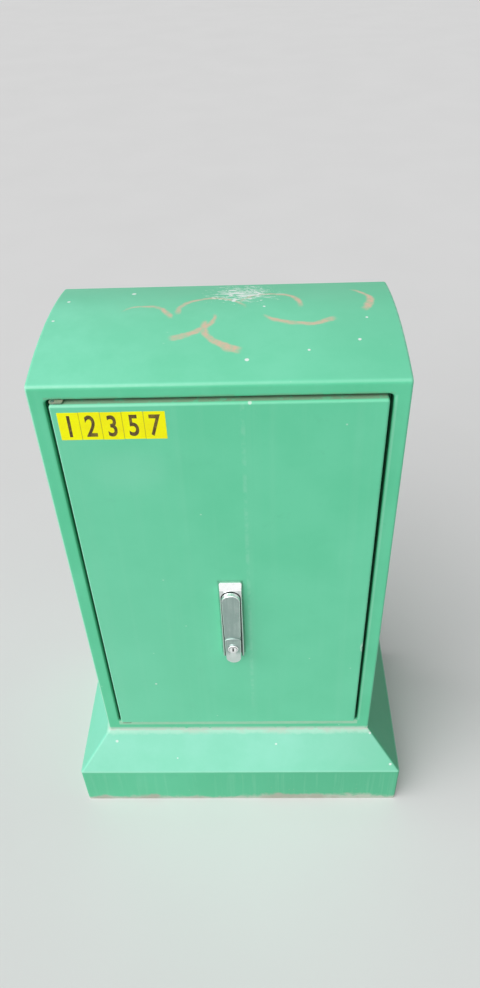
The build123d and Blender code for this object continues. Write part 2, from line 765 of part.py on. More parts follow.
def make_lever():
    under = tray_height + lever_lift
    face = under + lever_thickness
    plan = lever_outline(0)
    lever = from_front(plan, out_y(face), out_y(under))
    lever = chamfer(edges_at(lever, "Y", out_y(face)), lever_edge_chamfer)
    zone = Pos(handle_x, raised_zone_top - raised_zone_radius) * Circle(raised_zone_radius)
    drop = raised_zone_top - raised_zone_radius - lever_bottom + 1
    zone = zone + Pos(handle_x, lever_bottom - 1 + drop / 2) * Rectangle(2 * raised_zone_radius, drop)
    top = face + raised_zone_height
    raised = from_front(plan & zone, out_y(top), out_y(face - 2 * lever_edge_chamfer))
    lever = lever + chamfer(edges_at(raised, "Y", out_y(top)), lever_edge_chamfer)
    lever = lever - from_front(lock_outline(thread_clearance), out_y(top + 1), out_y(under - 1))
    slot_half = lug_width / 2 + lug_clearance
    slot_top = lever_pin_height + lug_radius + lug_clearance
    reach = lug_radius + lug_swing_room
    lever = lever - block(handle_x - slot_half, handle_x + slot_half, out_y(slot_top), out_y(under - 1),
                          pivot_height - reach, pivot_height + reach)
    relief = Polyline((out_y(under - 1), pivot_height + heel_relief_start),
                      (out_y(under), pivot_height + heel_relief_start),
                      (out_y(under + heel_relief_rise), pivot_height + head_radius + 1),
                      (out_y(under - 1), pivot_height + head_radius + 1), close=True)
    lever = lever - Pos(handle_x, 0, 0) * extrude(Plane.YZ * make_face(relief), tray_width, both=True)
    return lever - bar_x(out_y(lever_pin_height), pivot_height, lever_pin_diameter + 2 * running_clearance,
                         handle_x - lever_pin_hole_half_length, handle_x + lever_pin_hole_half_length)


def make_lever_pin():
    return bar_x(out_y(lever_pin_height), pivot_height, lever_pin_diameter,
                 handle_x - lever_pin_half_length, handle_x + lever_pin_half_length)


def lock_face_height():
    return tray_height + lever_lift + lever_thickness + raised_zone_height + lock_proud


def make_lock_cylinder():
    low = tray_height + lever_lift + lock_floor_gap
    body = from_front(lock_outline(0), out_y(lock_face_height()), out_y(low))
    body = chamfer(edges_at(body, "Y", out_y(lock_face_height())), lock_edge_chamfer)
    return body - bar_y(handle_x, lock_height, plug_diameter + 2 * running_clearance,
                        out_y(lock_face_height() + 1), out_y(low - 1))


def make_lock_plug():
    low = tray_height + lever_lift + plug_floor_gap
    top = lock_face_height() + plug_proud
    plug = bar_y(handle_x, lock_height, plug_diameter, out_y(top), out_y(low))
    plug = chamfer(edges_at(plug, "Y", out_y(top)), lock_edge_chamfer / 2)
    half = keyway_width / 2
    return plug - block(handle_x - half, handle_x + half, out_y(top + 1), out_y(top - keyway_depth),
                        lock_height - keyway_height / 2, lock_height + keyway_height / 2)


# Rod lock: a cam with two drive pins moves one flat rod up and one down

def make_cam():
    cam = bar_y(handle_x, pivot_height, 2 * cam_radius, cam_front_y, cam_back_y)
    half = spindle_square / 2 + spindle_square_clearance
    cam = cam - block(handle_x - half, handle_x + half, cam_front_y - 1, cam_back_y + 1,
                      pivot_height - half, pivot_height + half)
    for side in (-1, 1):
        cam = cam - bar_y(handle_x + side * drive_offset, pivot_height - side * drive_offset,
                          drive_pin_diameter + 2 * spindle_square_clearance, cam_front_y - 1, cam_back_y + 1)
    return cam


def make_drive_pins():
    pins = []
    for side in (-1, 1):
        x = handle_x + side * drive_offset
        z = pivot_height - side * drive_offset
        shank = bar_y(x, z, drive_pin_diameter, cam_front_y, rod_back_y + cam_clearance + seat_overlap)
        head = bar_y(x, z, drive_head_diameter, rod_back_y + cam_clearance,
                     rod_back_y + cam_clearance + drive_head_height)
        pins.append(shank + head)
    return Compound(children=pins)


def make_rod(side):
    """side -1 is the upper rod, left of the spindle; side 1 is the lower rod, right of it."""
    inner_x = handle_x + side * rod_spacing / 2
    outer_x = inner_x + side * rod_width
    pin_z = pivot_height - side * drive_offset
    end_z = pin_z + side * (drive_pin_diameter / 2 + rod_pin_margin)
    if side < 0:
        tip_z = rebate_inner_top - rod_end_clearance
    else:
        tip_z = rebate_inner_bottom + rod_end_clearance
    rod = block(inner_x, outer_x, rod_front_y, rod_back_y, end_z, tip_z)
    tips = [e for e in edges_at(rod, "Z", tip_z) if abs((e @ 0).Y - (e @ 1).Y) > touch]
    rod = chamfer(tips, rod_end_chamfer)
    half_height = (drive_pin_diameter + drive_slot_clearance * 2) / 2
    slot_near = drive_offset - half_height
    slot_far = drive_radius + half_height
    length = slot_far - slot_near
    centre_x = handle_x + side * (slot_near + slot_far) / 2
    slot = Pos(centre_x, pin_z) * SlotOverall(length, 2 * half_height)
    return rod - from_front(slot, rod_front_y - 1, rod_back_y + 1)


def guide_places():
    """Each guide's height and the x of the rod that it holds."""
    centre = (rod_spacing + rod_width) / 2
    lower = (door_bottom + guide_end_distance, pivot_height - guide_pivot_distance)
    upper = (pivot_height + guide_pivot_distance, door_top - guide_end_distance)
    return [(z, handle_x + centre) for z in lower] + [(z, handle_x - centre) for z in upper]


def make_guide(z, x):
    foot_y = door_inner_y + guide_pad_height
    half_length = guide_length / 2
    half_rod = rod_width / 2 + guide_clearance
    half_body = half_rod + guide_wall
    half_foot = guide_foot_width / 2
    head_y = rod_back_y + guide_clearance + guide_wall
    guide = block(x - half_foot, x + half_foot, foot_y, foot_y + guide_foot_thickness,
                  z - half_length, z + half_length)
    guide = guide + block(x - half_body, x + half_body, foot_y, head_y, z - half_length, z + half_length)
    guide = guide - block(x - half_rod, x + half_rod, rod_front_y - guide_clearance,
                          rod_back_y + guide_clearance, z - half_length - 1, z + half_length + 1)
    guide = guide - block(x - half_rod, x + half_rod, foot_y + guide_foot_thickness,
                          rod_front_y - guide_clearance - guide_wall,
                          z - half_length - 1, z + half_length + 1)
    for side in (-1, 1):
        screw_x = x + side * guide_screw_spacing / 2
        guide = guide - bar_y(screw_x, z, small_screw_diameter + screw_hole_clearance,
                              foot_y - 1, foot_y + guide_foot_thickness + 1)
    return guide


def make_guide_screws():
    foot_y = door_inner_y + guide_pad_height
    seat_y = foot_y + guide_foot_thickness
    screws = []
    for z, x in guide_places():
        for side in (-1, 1):
            sx = x + side * guide_screw_spacing / 2
            head = bar_y(sx, z, small_screw_head, seat_y, seat_y + small_screw_head_height)
            screws.append(head + bar_y(sx, z, small_screw_diameter - thread_clearance,
                                       door_inner_y, seat_y + seat_overlap))
    return Compound(children=screws)


# Gear inside: rails on moulded bosses, module frames, modules, wire rings, earth bar and cable clamp bar

def make_rail(level):
    half = rail_half_length
    low = level - rail_height / 2
    high = level + rail_height / 2
    rail = block(-half, half, rail_front_y, rail_back_y, low, high)
    rail = rail - block(-half - 1, half + 1, rail_front_y + rail_wall, rail_back_y - rail_wall,
                        low + rail_wall, high - rail_wall)
    for side in (-1, 1):
        rail = rail - bar_y(side * rail_bolt_x, level, rail_bolt_diameter + rail_bolt_clearance,
                            rail_front_y - 1, rail_back_y + 1)
    for x in frame_screw_columns():
        rail = rail - bar_y(x, level, frame_screw_diameter, rail_front_y - 1, rail_front_y + rail_wall + 1)
    return rail


def make_rail_bolts():
    bolts = []
    for level in rail_levels:
        for side in (-1, 1):
            x = side * rail_bolt_x
            seat = rail_front_y
            head = hex_y(x, level, rail_bolt_diameter * hex_share,
                         seat - rail_bolt_diameter * bolt_head_share, seat)
            bolts.append(head + bar_y(x, level, rail_bolt_diameter - thread_clearance,
                                      seat - seat_overlap, back_inner_y - rail_bolt_tip_gap))
    return Compound(children=bolts)


def frame_screw_columns():
    return (-module_column_x, 0.0, module_column_x)


def module_frame_limits():
    return (rail_levels[0] - module_frame_overrun, rail_levels[1] + module_frame_overrun)


def make_module_frame(x):
    half = module_frame_width / 2
    low, high = module_frame_limits()
    frame = block(x - half, x + half, module_frame_front_y, rail_front_y, low, high)
    sheet = module_frame_sheet
    frame = frame - block(x - half + sheet, x + half - sheet, module_frame_front_y - 1, rail_front_y - sheet,
                          low - 1, high + 1)
    for level in rail_levels:
        frame = frame - bar_y(x, level, frame_screw_diameter + screw_hole_clearance,
                              rail_front_y - sheet - 1, rail_front_y + 1)
    window_low = rail_levels[0] + rail_height
    window_high = rail_levels[1] - rail_height
    pitch = (window_high - window_low) / frame_window_count
    for i in range(frame_window_count):
        z = window_low + (i + 0.5) * pitch
        window = Pos(x, z) * SlotOverall(frame_window_width, pitch * frame_window_share)
        frame = frame - from_front(window, rail_front_y - sheet - 1, rail_front_y + 1)
    return frame


def make_frame_screws():
    screws = []
    for level in rail_levels:
        for x in frame_screw_columns():
            seat = rail_front_y - (strap_thickness if x == 0 else module_frame_sheet)
            head = bar_y(x, level, frame_screw_head, seat - frame_screw_head_height, seat)
            screws.append(head + bar_y(x, level, frame_screw_diameter - thread_clearance,
                                       seat - seat_overlap, rail_front_y + rail_wall))
    return Compound(children=screws)


def module_levels():
    top = module_frame_limits()[1] - module_top_margin
    return [top - module_pitch * (i + 0.5) for i in range(modules_per_column)]


def make_module():
    """One connection module, modelled at the middle of its column; the columns move copies of it."""
    half = module_width / 2
    high = module_height / 2
    front = module_frame_front_y - module_body_depth
    body = block(-half, half, front, module_frame_front_y, -high, high)
    body = chamfer(edges_at(body, "Y", front), module_edge_chamfer)
    foot_half = module_frame_width / 2 - module_frame_sheet - module_foot_clearance
    body = body + block(-foot_half, foot_half, module_frame_front_y - 1,
                        module_frame_front_y + module_foot_depth, -high * module_foot_share,
                        high * module_foot_share)
    pitch = (module_width - 2 * module_end_margin) / contacts_per_row
    slots = []
    for row in (-1, 1):
        for i in range(contacts_per_row):
            x = (i - (contacts_per_row - 1) / 2) * pitch
            z = row * (high / 2)
            slots.append(block(x - contact_slot_width / 2, x + contact_slot_width / 2, front - 1,
                               front + contact_slot_depth, z - contact_slot_height / 2,
                               z + contact_slot_height / 2))
    return body - slots


def make_strap():
    half = strap_width / 2
    low, high = module_frame_limits()
    strap = block(-half, half, rail_front_y - strap_thickness, rail_front_y, low, high)
    for level in rail_levels:
        strap = strap - bar_y(0, level, frame_screw_diameter + screw_hole_clearance,
                              rail_front_y - strap_thickness - 1, rail_front_y + 1)
    return strap


def make_rings():
    rings = []
    back = rail_front_y - strap_thickness
    low = rail_levels[0] + rail_height
    high = rail_levels[1] - rail_height
    for i in range(ring_count):
        z = low + (high - low) * (i + 0.5) / ring_count
        outline = RectangleRounded(ring_width, ring_reach, ring_corner_radius)
        hole = RectangleRounded(ring_width - 2 * ring_bar, ring_reach - 2 * ring_bar,
                                ring_corner_radius - ring_bar)
        ring = extrude(outline - hole, ring_bar)
        rings.append(Pos(0, back - ring_reach / 2, z - ring_bar / 2) * ring)
    return Compound(children=rings)


def earth_screw_places():
    pitch = earth_bar_length * earth_screw_span_share / earth_screw_count
    return [(i - (earth_screw_count - 1) / 2) * pitch for i in range(earth_screw_count)]


def make_earth_bar():
    half = earth_bar_length / 2
    back = rail_back_y
    front = back - earth_bar_thickness
    bar = block(-half, half, front, back, earth_bar_level - earth_bar_height / 2,
                earth_bar_level + earth_bar_height / 2)
    for x in earth_screw_places():
        bar = bar - bar_y(x, earth_bar_level, earth_screw_diameter + 2 * thread_clearance,
                          front - 1, back + 1)
    for side in (-1, 1):
        bar = bar - bar_y(side * earth_fixing_x, earth_bar_level,
                          small_screw_diameter + screw_hole_clearance, front - 1, back + 1)
    return bar


def make_earth_screws():
    front = rail_back_y - earth_bar_thickness
    screws = []
    for x in earth_screw_places():
        head = hex_y(x, earth_bar_level, earth_screw_head, front - earth_screw_head_height, front)
        screws.append(head + bar_y(x, earth_bar_level, earth_screw_diameter,
                                   front - seat_overlap, rail_back_y))
    for side in (-1, 1):
        x = side * earth_fixing_x
        head = bar_y(x, earth_bar_level, small_screw_head, front - small_screw_head_height, front)
        screws.append(head + bar_y(x, earth_bar_level, small_screw_diameter - thread_clearance,
                                   front - seat_overlap, back_inner_y - screw_tip_gap))
    return Compound(children=screws)


def make_clamp_bar():
    half = side_inner_x - clamp_pad_height
    y0 = clamp_bar_y - clamp_bar_depth / 2
    y1 = clamp_bar_y + clamp_bar_depth / 2
    low = clamp_bar_level - clamp_bar_height / 2
    high = clamp_bar_level + clamp_bar_height / 2
    bar = block(-half, half, y0, y1, low, high)
    bar = bar - block(-half - 1, half + 1, y0 + clamp_bar_wall, y1 + 1,
                      low + clamp_bar_wall, high - clamp_bar_wall)
    pitch = 2 * (half - clamp_slot_margin) / clamp_slot_count
    for i in range(clamp_slot_count):
        x = (i - (clamp_slot_count - 1) / 2) * pitch
        slot = Pos(x, clamp_bar_level) * SlotOverall(pitch * clamp_slot_share, clamp_slot_height)
        bar = bar - from_front(slot, y0 - 1, y0 + clamp_bar_wall + 1)
    plate_half = clamp_pad_size / 2
    for side in (-1, 1):
        plate = block(side * half, side * (half - clamp_end_plate), clamp_bar_y - plate_half,
                      clamp_bar_y + plate_half, low, high)
        bar = bar + plate
        for y in clamp_screw_places():
            bar = bar - bar_x(y, clamp_bar_level, small_screw_diameter + screw_hole_clearance,
                              side * (half + 1), side * (half - clamp_end_plate - 1))
    return bar


def make_clamp_screws():
    seat = side_inner_x - clamp_pad_height - clamp_end_plate
    screws = []
    for side in (-1, 1):
        for y in clamp_screw_places():
            head = bar_x(y, clamp_bar_level, small_screw_head, side * (seat - small_screw_head_height),
                         side * seat)
            screws.append(head + bar_x(y, clamp_bar_level, small_screw_diameter - thread_clearance,
                                       side * (seat - seat_overlap), side * (side_inner_x - screw_tip_gap)))
    return Compound(children=screws)


# Write one file for each piece

save("housing", make_housing())
save("plinth", make_plinth())
save("base_bolts", make_base_bolts())
save("base_nuts", make_base_nuts())
save("base_plate", make_base_plate())
save("base_plate_screws", make_base_plate_screws())
for number, gland_x in enumerate(gland_places(), 1):
    save("cable_gland_%d" % number, make_gland(gland_x))
save("door_gasket", make_gasket())
save("door", make_door())
for number, hinge_end in ((1, -1), (2, 1)):
    save("hinge_bracket_%d" % number, make_hinge_bracket(hinge_end))
    save("hinge_pin_%d" % number, make_hinge_pin(hinge_end))
    save("hinge_bush_%d" % number, make_hinge_bush(hinge_end))
save("hinge_rivets", make_hinge_rivets())
save("handle_tray", make_tray())
save("handle_nut", make_handle_nut())
save("handle_stud_nut", make_stud_nut())
save("handle_hub", make_hub())
save("swing_lever", make_lever())
save("lever_pin", make_lever_pin())
save("lock_cylinder", make_lock_cylinder())
save("lock_plug", make_lock_plug())
save("cam_plate", make_cam())
save("drive_pins", make_drive_pins())
save("upper_rod", make_rod(-1))
save("lower_rod", make_rod(1))
for number, (guide_z, guide_x) in enumerate(guide_places(), 1):
    save("rod_guide_%d" % number, make_guide(guide_z, guide_x))
save("guide_screws", make_guide_screws())
for name, rail_z in zip(("lower_rail", "upper_rail"), rail_levels):
    save(name, make_rail(rail_z))
save("rail_bolts", make_rail_bolts())
for name, frame_x in (("module_frame_left", -module_column_x), ("module_frame_right", module_column_x)):
    save(name, make_module_frame(frame_x))
save("frame_screws", make_frame_screws())
module = make_module()
for column, column_x in (("left", -module_column_x), ("right", module_column_x)):
    for number, module_z in enumerate(module_levels(), 1):
        save("module_%s_%d" % (column, number), Pos(column_x, 0, module_z) * module)
save("ring_strap", make_strap())
save("wire_rings", make_rings())
save("earth_bar", make_earth_bar())
save("earth_bar_screws", make_earth_screws())
save("cable_clamp_bar", make_clamp_bar())
save("clamp_bar_screws", make_clamp_screws())
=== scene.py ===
import json
import math

import bpy
from mathutils import Matrix, Vector


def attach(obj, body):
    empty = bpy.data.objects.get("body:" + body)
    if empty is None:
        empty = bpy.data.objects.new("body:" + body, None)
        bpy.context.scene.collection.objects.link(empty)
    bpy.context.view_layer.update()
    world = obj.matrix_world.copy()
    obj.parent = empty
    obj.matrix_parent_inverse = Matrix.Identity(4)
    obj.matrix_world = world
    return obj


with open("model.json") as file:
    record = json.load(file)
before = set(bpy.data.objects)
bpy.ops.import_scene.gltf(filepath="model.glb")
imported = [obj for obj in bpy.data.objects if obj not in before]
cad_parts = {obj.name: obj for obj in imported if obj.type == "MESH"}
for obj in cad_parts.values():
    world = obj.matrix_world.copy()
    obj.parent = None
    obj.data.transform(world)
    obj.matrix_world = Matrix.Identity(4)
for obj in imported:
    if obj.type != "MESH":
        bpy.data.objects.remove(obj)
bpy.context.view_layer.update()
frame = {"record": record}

# Everything is in metres. Patterns are worked out in millimetres and turned here.
MM = 0.001

# The cabinet's main places in millimetres, as the solids have them
# Housing: its sides, its front, the fold under the roof, and the line around which the roof is curved
HALF_WIDTH = 250.0
FRONT = -142.5
FOLD = 972.0
ROOF_AXIS = 303.0
ROOF_RADIUS = 684.0
# Door and its opening
OPENING_HALF_WIDTH = 227.0
OPENING_MIDDLE = 584.0
OPENING_HALF_HEIGHT = 367.0
DOOR_FACE = -150.5
DOOR_LEFT = -221.0
DOOR_FOOT = 223.0
DOOR_TOP = 947.7
# Plinth: where the housing stands on it, the top of its upright band, and its foot
JOINT = 191.0
BAND = 101.0
FOOT_X = 314.0
FOOT_Y = 183.5
# Hinge axis in x and y, handle pivot in x and z, and heights on the handle
HINGE = (-216.0, -143.5)
PIVOT = (2.0, 584.5)
LOCK_HEIGHT = 472.7
RAISED_EDGE = 496.5
TRAY_MIDDLE = 525.75
TRAY_HALF_WIDTH = 18.25
TRAY_HALF_HEIGHT = 87.75


def linear(code):
    """An sRGB hex colour as the linear values that Blender works in."""
    values = []
    for place in (0, 2, 4):
        share = int(code[place:place + 2], 16) / 255
        values.append(share / 12.92 if share <= 0.04045 else ((share + 0.055) / 1.055) ** 2.4)
    return (*values, 1.0)


def add(tree, kind, inputs=None, **settings):
    """Add one node, set it up, and link or set its inputs."""
    made = tree.nodes.new("ShaderNode" + kind)
    for name, value in settings.items():
        setattr(made, name, value)
    for key, value in (inputs or {}).items():
        if isinstance(value, bpy.types.NodeSocket):
            tree.links.new(value, made.inputs[key])
        else:
            made.inputs[key].default_value = value
    return made.outputs


def new_finish(name):
    """An empty material, its node tree, and the surface point in millimetres."""
    finish = bpy.data.materials.new(name)
    finish.use_nodes = True
    tree = finish.node_tree
    tree.nodes.clear()
    point = add(tree, "TexCoord")["Object"]
    return finish, tree, add(tree, "VectorMath", {0: point, "Scale": 1 / MM}, operation="SCALE")[0]


def close_finish(finish, colour, rough, height=None, more=None):
    """Give the finish its shader: height is its relief in millimetres, more the sockets that only it sets."""
    tree = finish.node_tree
    inputs = {"Base Color": colour, "Roughness": rough, **(more or {})}
    if height is not None:
        inputs["Normal"] = add(tree, "Bump", {"Height": height, "Distance": MM, "Strength": 1.0})[0]
    shader = add(tree, "BsdfPrincipled", inputs)
    add(tree, "OutputMaterial", {"Surface": shader["BSDF"]})
    return finish


def paint(tree, ground, coats):
    """Lay coats over a ground colour, one after another: for each, where it lies and its shade."""
    colour = linear(ground) if isinstance(ground, str) else ground
    for where, shade in coats:
        shade = linear(shade) if isinstance(shade, str) else shade
        colour = add(tree, "Mix", {0: where, 6: colour, 7: shade}, data_type="RGBA")[2]
    return colour


def total(tree, start, *parts):
    """Start plus each part times its weight."""
    for part, weight in parts:
        start = add(tree, "Math", {0: part, 1: weight, 2: start}, operation="MULTIPLY_ADD")[0]
    return start


def away(tree, value, middle):
    """How far value lies from middle, on either side."""
    shift = add(tree, "Math", {0: value, 1: middle}, operation="SUBTRACT")[0]
    return add(tree, "Math", {0: shift}, operation="ABSOLUTE")[0]


def reach(tree, point, centre, weights):
    """How far the point lies from centre, with each direction weighed."""
    off = add(tree, "VectorMath", {0: point, 1: centre}, operation="SUBTRACT")[0]
    off = add(tree, "VectorMath", {0: off, 1: weights}, operation="MULTIPLY")[0]
    return add(tree, "VectorMath", {0: off}, operation="LENGTH")["Value"]


def ramp(tree, value, low, high):
    """0 below low and 1 above high, or the other way round where high is the lower."""
    if low < high:
        ends = {"From Min": low, "From Max": high, "To Min": 0.0, "To Max": 1.0}
    else:
        ends = {"From Min": high, "From Max": low, "To Min": 1.0, "To Max": 0.0}
    return add(tree, "MapRange", {"Value": value, **ends}, interpolation_type="SMOOTHSTEP")[0]


def band(tree, value, middle, half, soft):
    """1 where value lies within half of middle, fading to 0 over soft."""
    return ramp(tree, away(tree, value, middle), half + soft, half)


def both(tree, *masks):
    """Where all of the masks hold; a plain number weakens them."""
    result = masks[0]
    for mask in masks[1:]:
        result = add(tree, "Math", {0: result, 1: mask}, operation="MULTIPLY")[0]
    return result


def either(tree, *masks):
    """Where any of the masks holds."""
    result = masks[0]
    for mask in masks[1:]:
        result = add(tree, "Math", {0: result, 1: mask}, operation="MAXIMUM")[0]
    return result


def spots(tree, point, places, core):
    """Round spots, each given as x, y, z and radius, and full within core times that radius."""
    masks = []
    for x, y, z, radius in places:
        gap = add(tree, "VectorMath", {0: point, 1: (x, y, z)}, operation="DISTANCE")["Value"]
        masks.append(ramp(tree, gap, radius, radius * core))
    return either(tree, *masks)


# Green gel coat on glass fibre: pigmented polyester, moulded glossy and gone chalky and satin outdoors

def gel_coat_ground(tree, point):
    """The even green with its clouds and faint runs, its roughness, and its relief in millimetres."""
    clouds = add(tree, "TexNoise", {"Vector": point, "Scale": 1 / 110, "Detail": 3.0, "Roughness": 0.55})[0]
    clouds = ramp(tree, clouds, 0.32, 0.68)
    tall = add(tree, "VectorMath", {0: point, 1: (1.0, 1.0, 0.05)}, operation="MULTIPLY")[0]
    runs = add(tree, "TexNoise", {"Vector": tall, "Scale": 1 / 14, "Detail": 4.0, "Roughness": 0.6})[0]
    grime = add(tree, "TexNoise", {"Vector": point, "Scale": 1 / 38, "Detail": 6.0, "Roughness": 0.7})[0]
    cells = add(tree, "TexVoronoi", {"Vector": point, "Scale": 1 / 34, "Randomness": 1.0})
    chosen = add(tree, "SeparateColor", {0: cells["Color"]})[0]
    dots = both(tree, ramp(tree, cells["Distance"], 0.055, 0.035), ramp(tree, chosen, 0.66, 0.7), 0.75)
    colour = paint(tree, "5ccd9d", [
        (clouds, "65d2a4"),
        (both(tree, ramp(tree, runs, 0.52, 0.74), 0.16), "78d4ad"),
        (both(tree, ramp(tree, grime, 0.55, 0.8), 0.22), "52b387"),
        (dots, "b4e2cb"),
    ])
    rough = total(tree, add(tree, "Mix", {0: clouds, 2: 0.43, 3: 0.52})[0], (dots, 0.2))

    # Relief: slow swells of the mould, orange peel 3 mm across, and a fine grain
    swell = add(tree, "TexNoise", {"Vector": point, "Scale": 1 / 75, "Detail": 1.0})[0]
    peel = add(tree, "TexNoise", {"Vector": point, "Scale": 1 / 3.2, "Detail": 1.0})[0]
    fine = add(tree, "TexNoise", {"Vector": point, "Scale": 1 / 2.2, "Detail": 2.0})[0]
    return colour, rough, total(tree, 0.0, (swell, 0.55), (peel, 0.022), (fine, 0.006))


def close_gel_coat(finish, point, colour, rough, height, inside):
    """Close a moulding's finish. Its inside is unpolished resin over chopped glass strands, pale and rough."""
    tree = finish.node_tree
    # Strands are about 0.5 mm wide and lie in all directions; drawn at 1.7 mm so that they show
    layers = []
    for angle, offset in ((0.4, 0.0), (1.5, 40.0), (2.6, 80.0)):
        turned = add(tree, "Mapping", {"Vector": point, "Location": (offset, offset, offset),
                                       "Rotation": (angle, angle * 0.7, angle)})[0]
        long = add(tree, "VectorMath", {0: turned, 1: (0.04, 1.0, 1.0)}, operation="MULTIPLY")[0]
        noise = add(tree, "TexNoise", {"Vector": long, "Scale": 1 / 1.7, "Detail": 2.0})[0]
        layers.append(ramp(tree, noise, 0.56, 0.66))
    strands = either(tree, *layers)
    pools = add(tree, "TexNoise", {"Vector": point, "Scale": 1 / 26, "Detail": 3.0})[0]
    bare = paint(tree, "79b497", [(ramp(tree, pools, 0.35, 0.65), "8fc4a9"),
                                  (both(tree, strands, 0.55), "b4d8c5")])
    raised = total(tree, both(tree, pools, 0.9), (strands, 0.16))
    colour = paint(tree, colour, [(inside, bare)])
    rough = add(tree, "Mix", {0: inside, 2: rough, 3: 0.62})[0]
    height = add(tree, "Mix", {0: inside, 2: height, 3: raised})[0]
    return close_finish(finish, colour, rough, height, {"IOR": 1.5, "Specular IOR Level": 0.4})


# Faded brush strokes on the roof, each an arc that widens along its way:
# centre x and y, radius, half width, heading of its middle, half its spread, and how much it widens
ROOF_STROKES = (
    (-112.0, 8.0, 40.0, 2.6, 70.0, 76.0, -0.5),
    (-80.0, 26.0, 74.0, 4.8, 316.0, 40.0, -0.7),
    (-14.0, 26.0, 48.0, 2.8, 100.0, 92.0, 0.4),
    (46.0, -10.0, 70.0, 5.4, 214.0, 44.0, 0.7),
    (70.0, 44.0, 44.0, 2.6, 76.0, 96.0, -0.3),
    (118.0, 60.0, 76.0, 3.8, 262.0, 46.0, 0.5),
    (172.0, 58.0, 44.0, 4.2, 8.0, 62.0, -0.6),
)

# Single bright specks: x, y, z and radius
ROOF_SPECKS = (
    (-135.0, 102.0, 979.0, 4.2), (-228.0, 73.0, 983.0, 3.0), (-238.0, 7.0, 987.0, 2.6),
    (38.0, -98.0, 980.0, 3.6), (120.0, -80.0, 982.0, 2.4), (189.0, -58.0, 984.5, 3.0),
    (204.0, -1.5, 987.0, 2.4), (17.0, 62.0, 984.0, 4.0), (62.0, 40.0, 986.0, 2.4),
)
PLINTH_SPECKS = (
    (-237.0, -154.0, 166.0, 3.6), (295.0, -176.0, 117.0, 3.4), (73.0, -157.0, 159.0, 2.8),
    (254.0, -147.0, 180.0, 3.0), (-120.0, -170.0, 131.0, 2.0),
)


def brush_strokes(tree, point):
    """Where the roof's faded strokes lie."""
    strokes = []
    for centre_x, centre_y, radius, half, middle, spread, widen in ROOF_STROKES:
        middle, spread = math.radians(middle), math.radians(spread)
        out = add(tree, "VectorMath", {0: point, 1: (centre_x, centre_y, 0.0)}, operation="SUBTRACT")[0]
        out = add(tree, "VectorMath", {0: out, 1: (1.0, 1.0, 0.0)}, operation="MULTIPLY")[0]
        distance = add(tree, "VectorMath", {0: out}, operation="LENGTH")["Value"]
        heading = add(tree, "VectorMath", {0: out}, operation="NORMALIZE")[0]
        along = add(tree, "VectorMath", {0: heading, 1: (-math.sin(middle), math.cos(middle), 0.0)},
                    operation="DOT_PRODUCT")["Value"]
        turn = add(tree, "VectorMath", {0: heading, 1: (math.cos(middle), math.sin(middle), 0.0)},
                   operation="DOT_PRODUCT")["Value"]
        room = total(tree, half, (along, half * widen))
        off = add(tree, "Math", {0: away(tree, distance, radius), 1: room}, operation="SUBTRACT")[0]
        gate = ramp(tree, turn, math.cos(spread), math.cos(spread * 0.7))
        strokes.append(both(tree, ramp(tree, off, 2.4, -3.0), gate))
    return either(tree, *strokes)


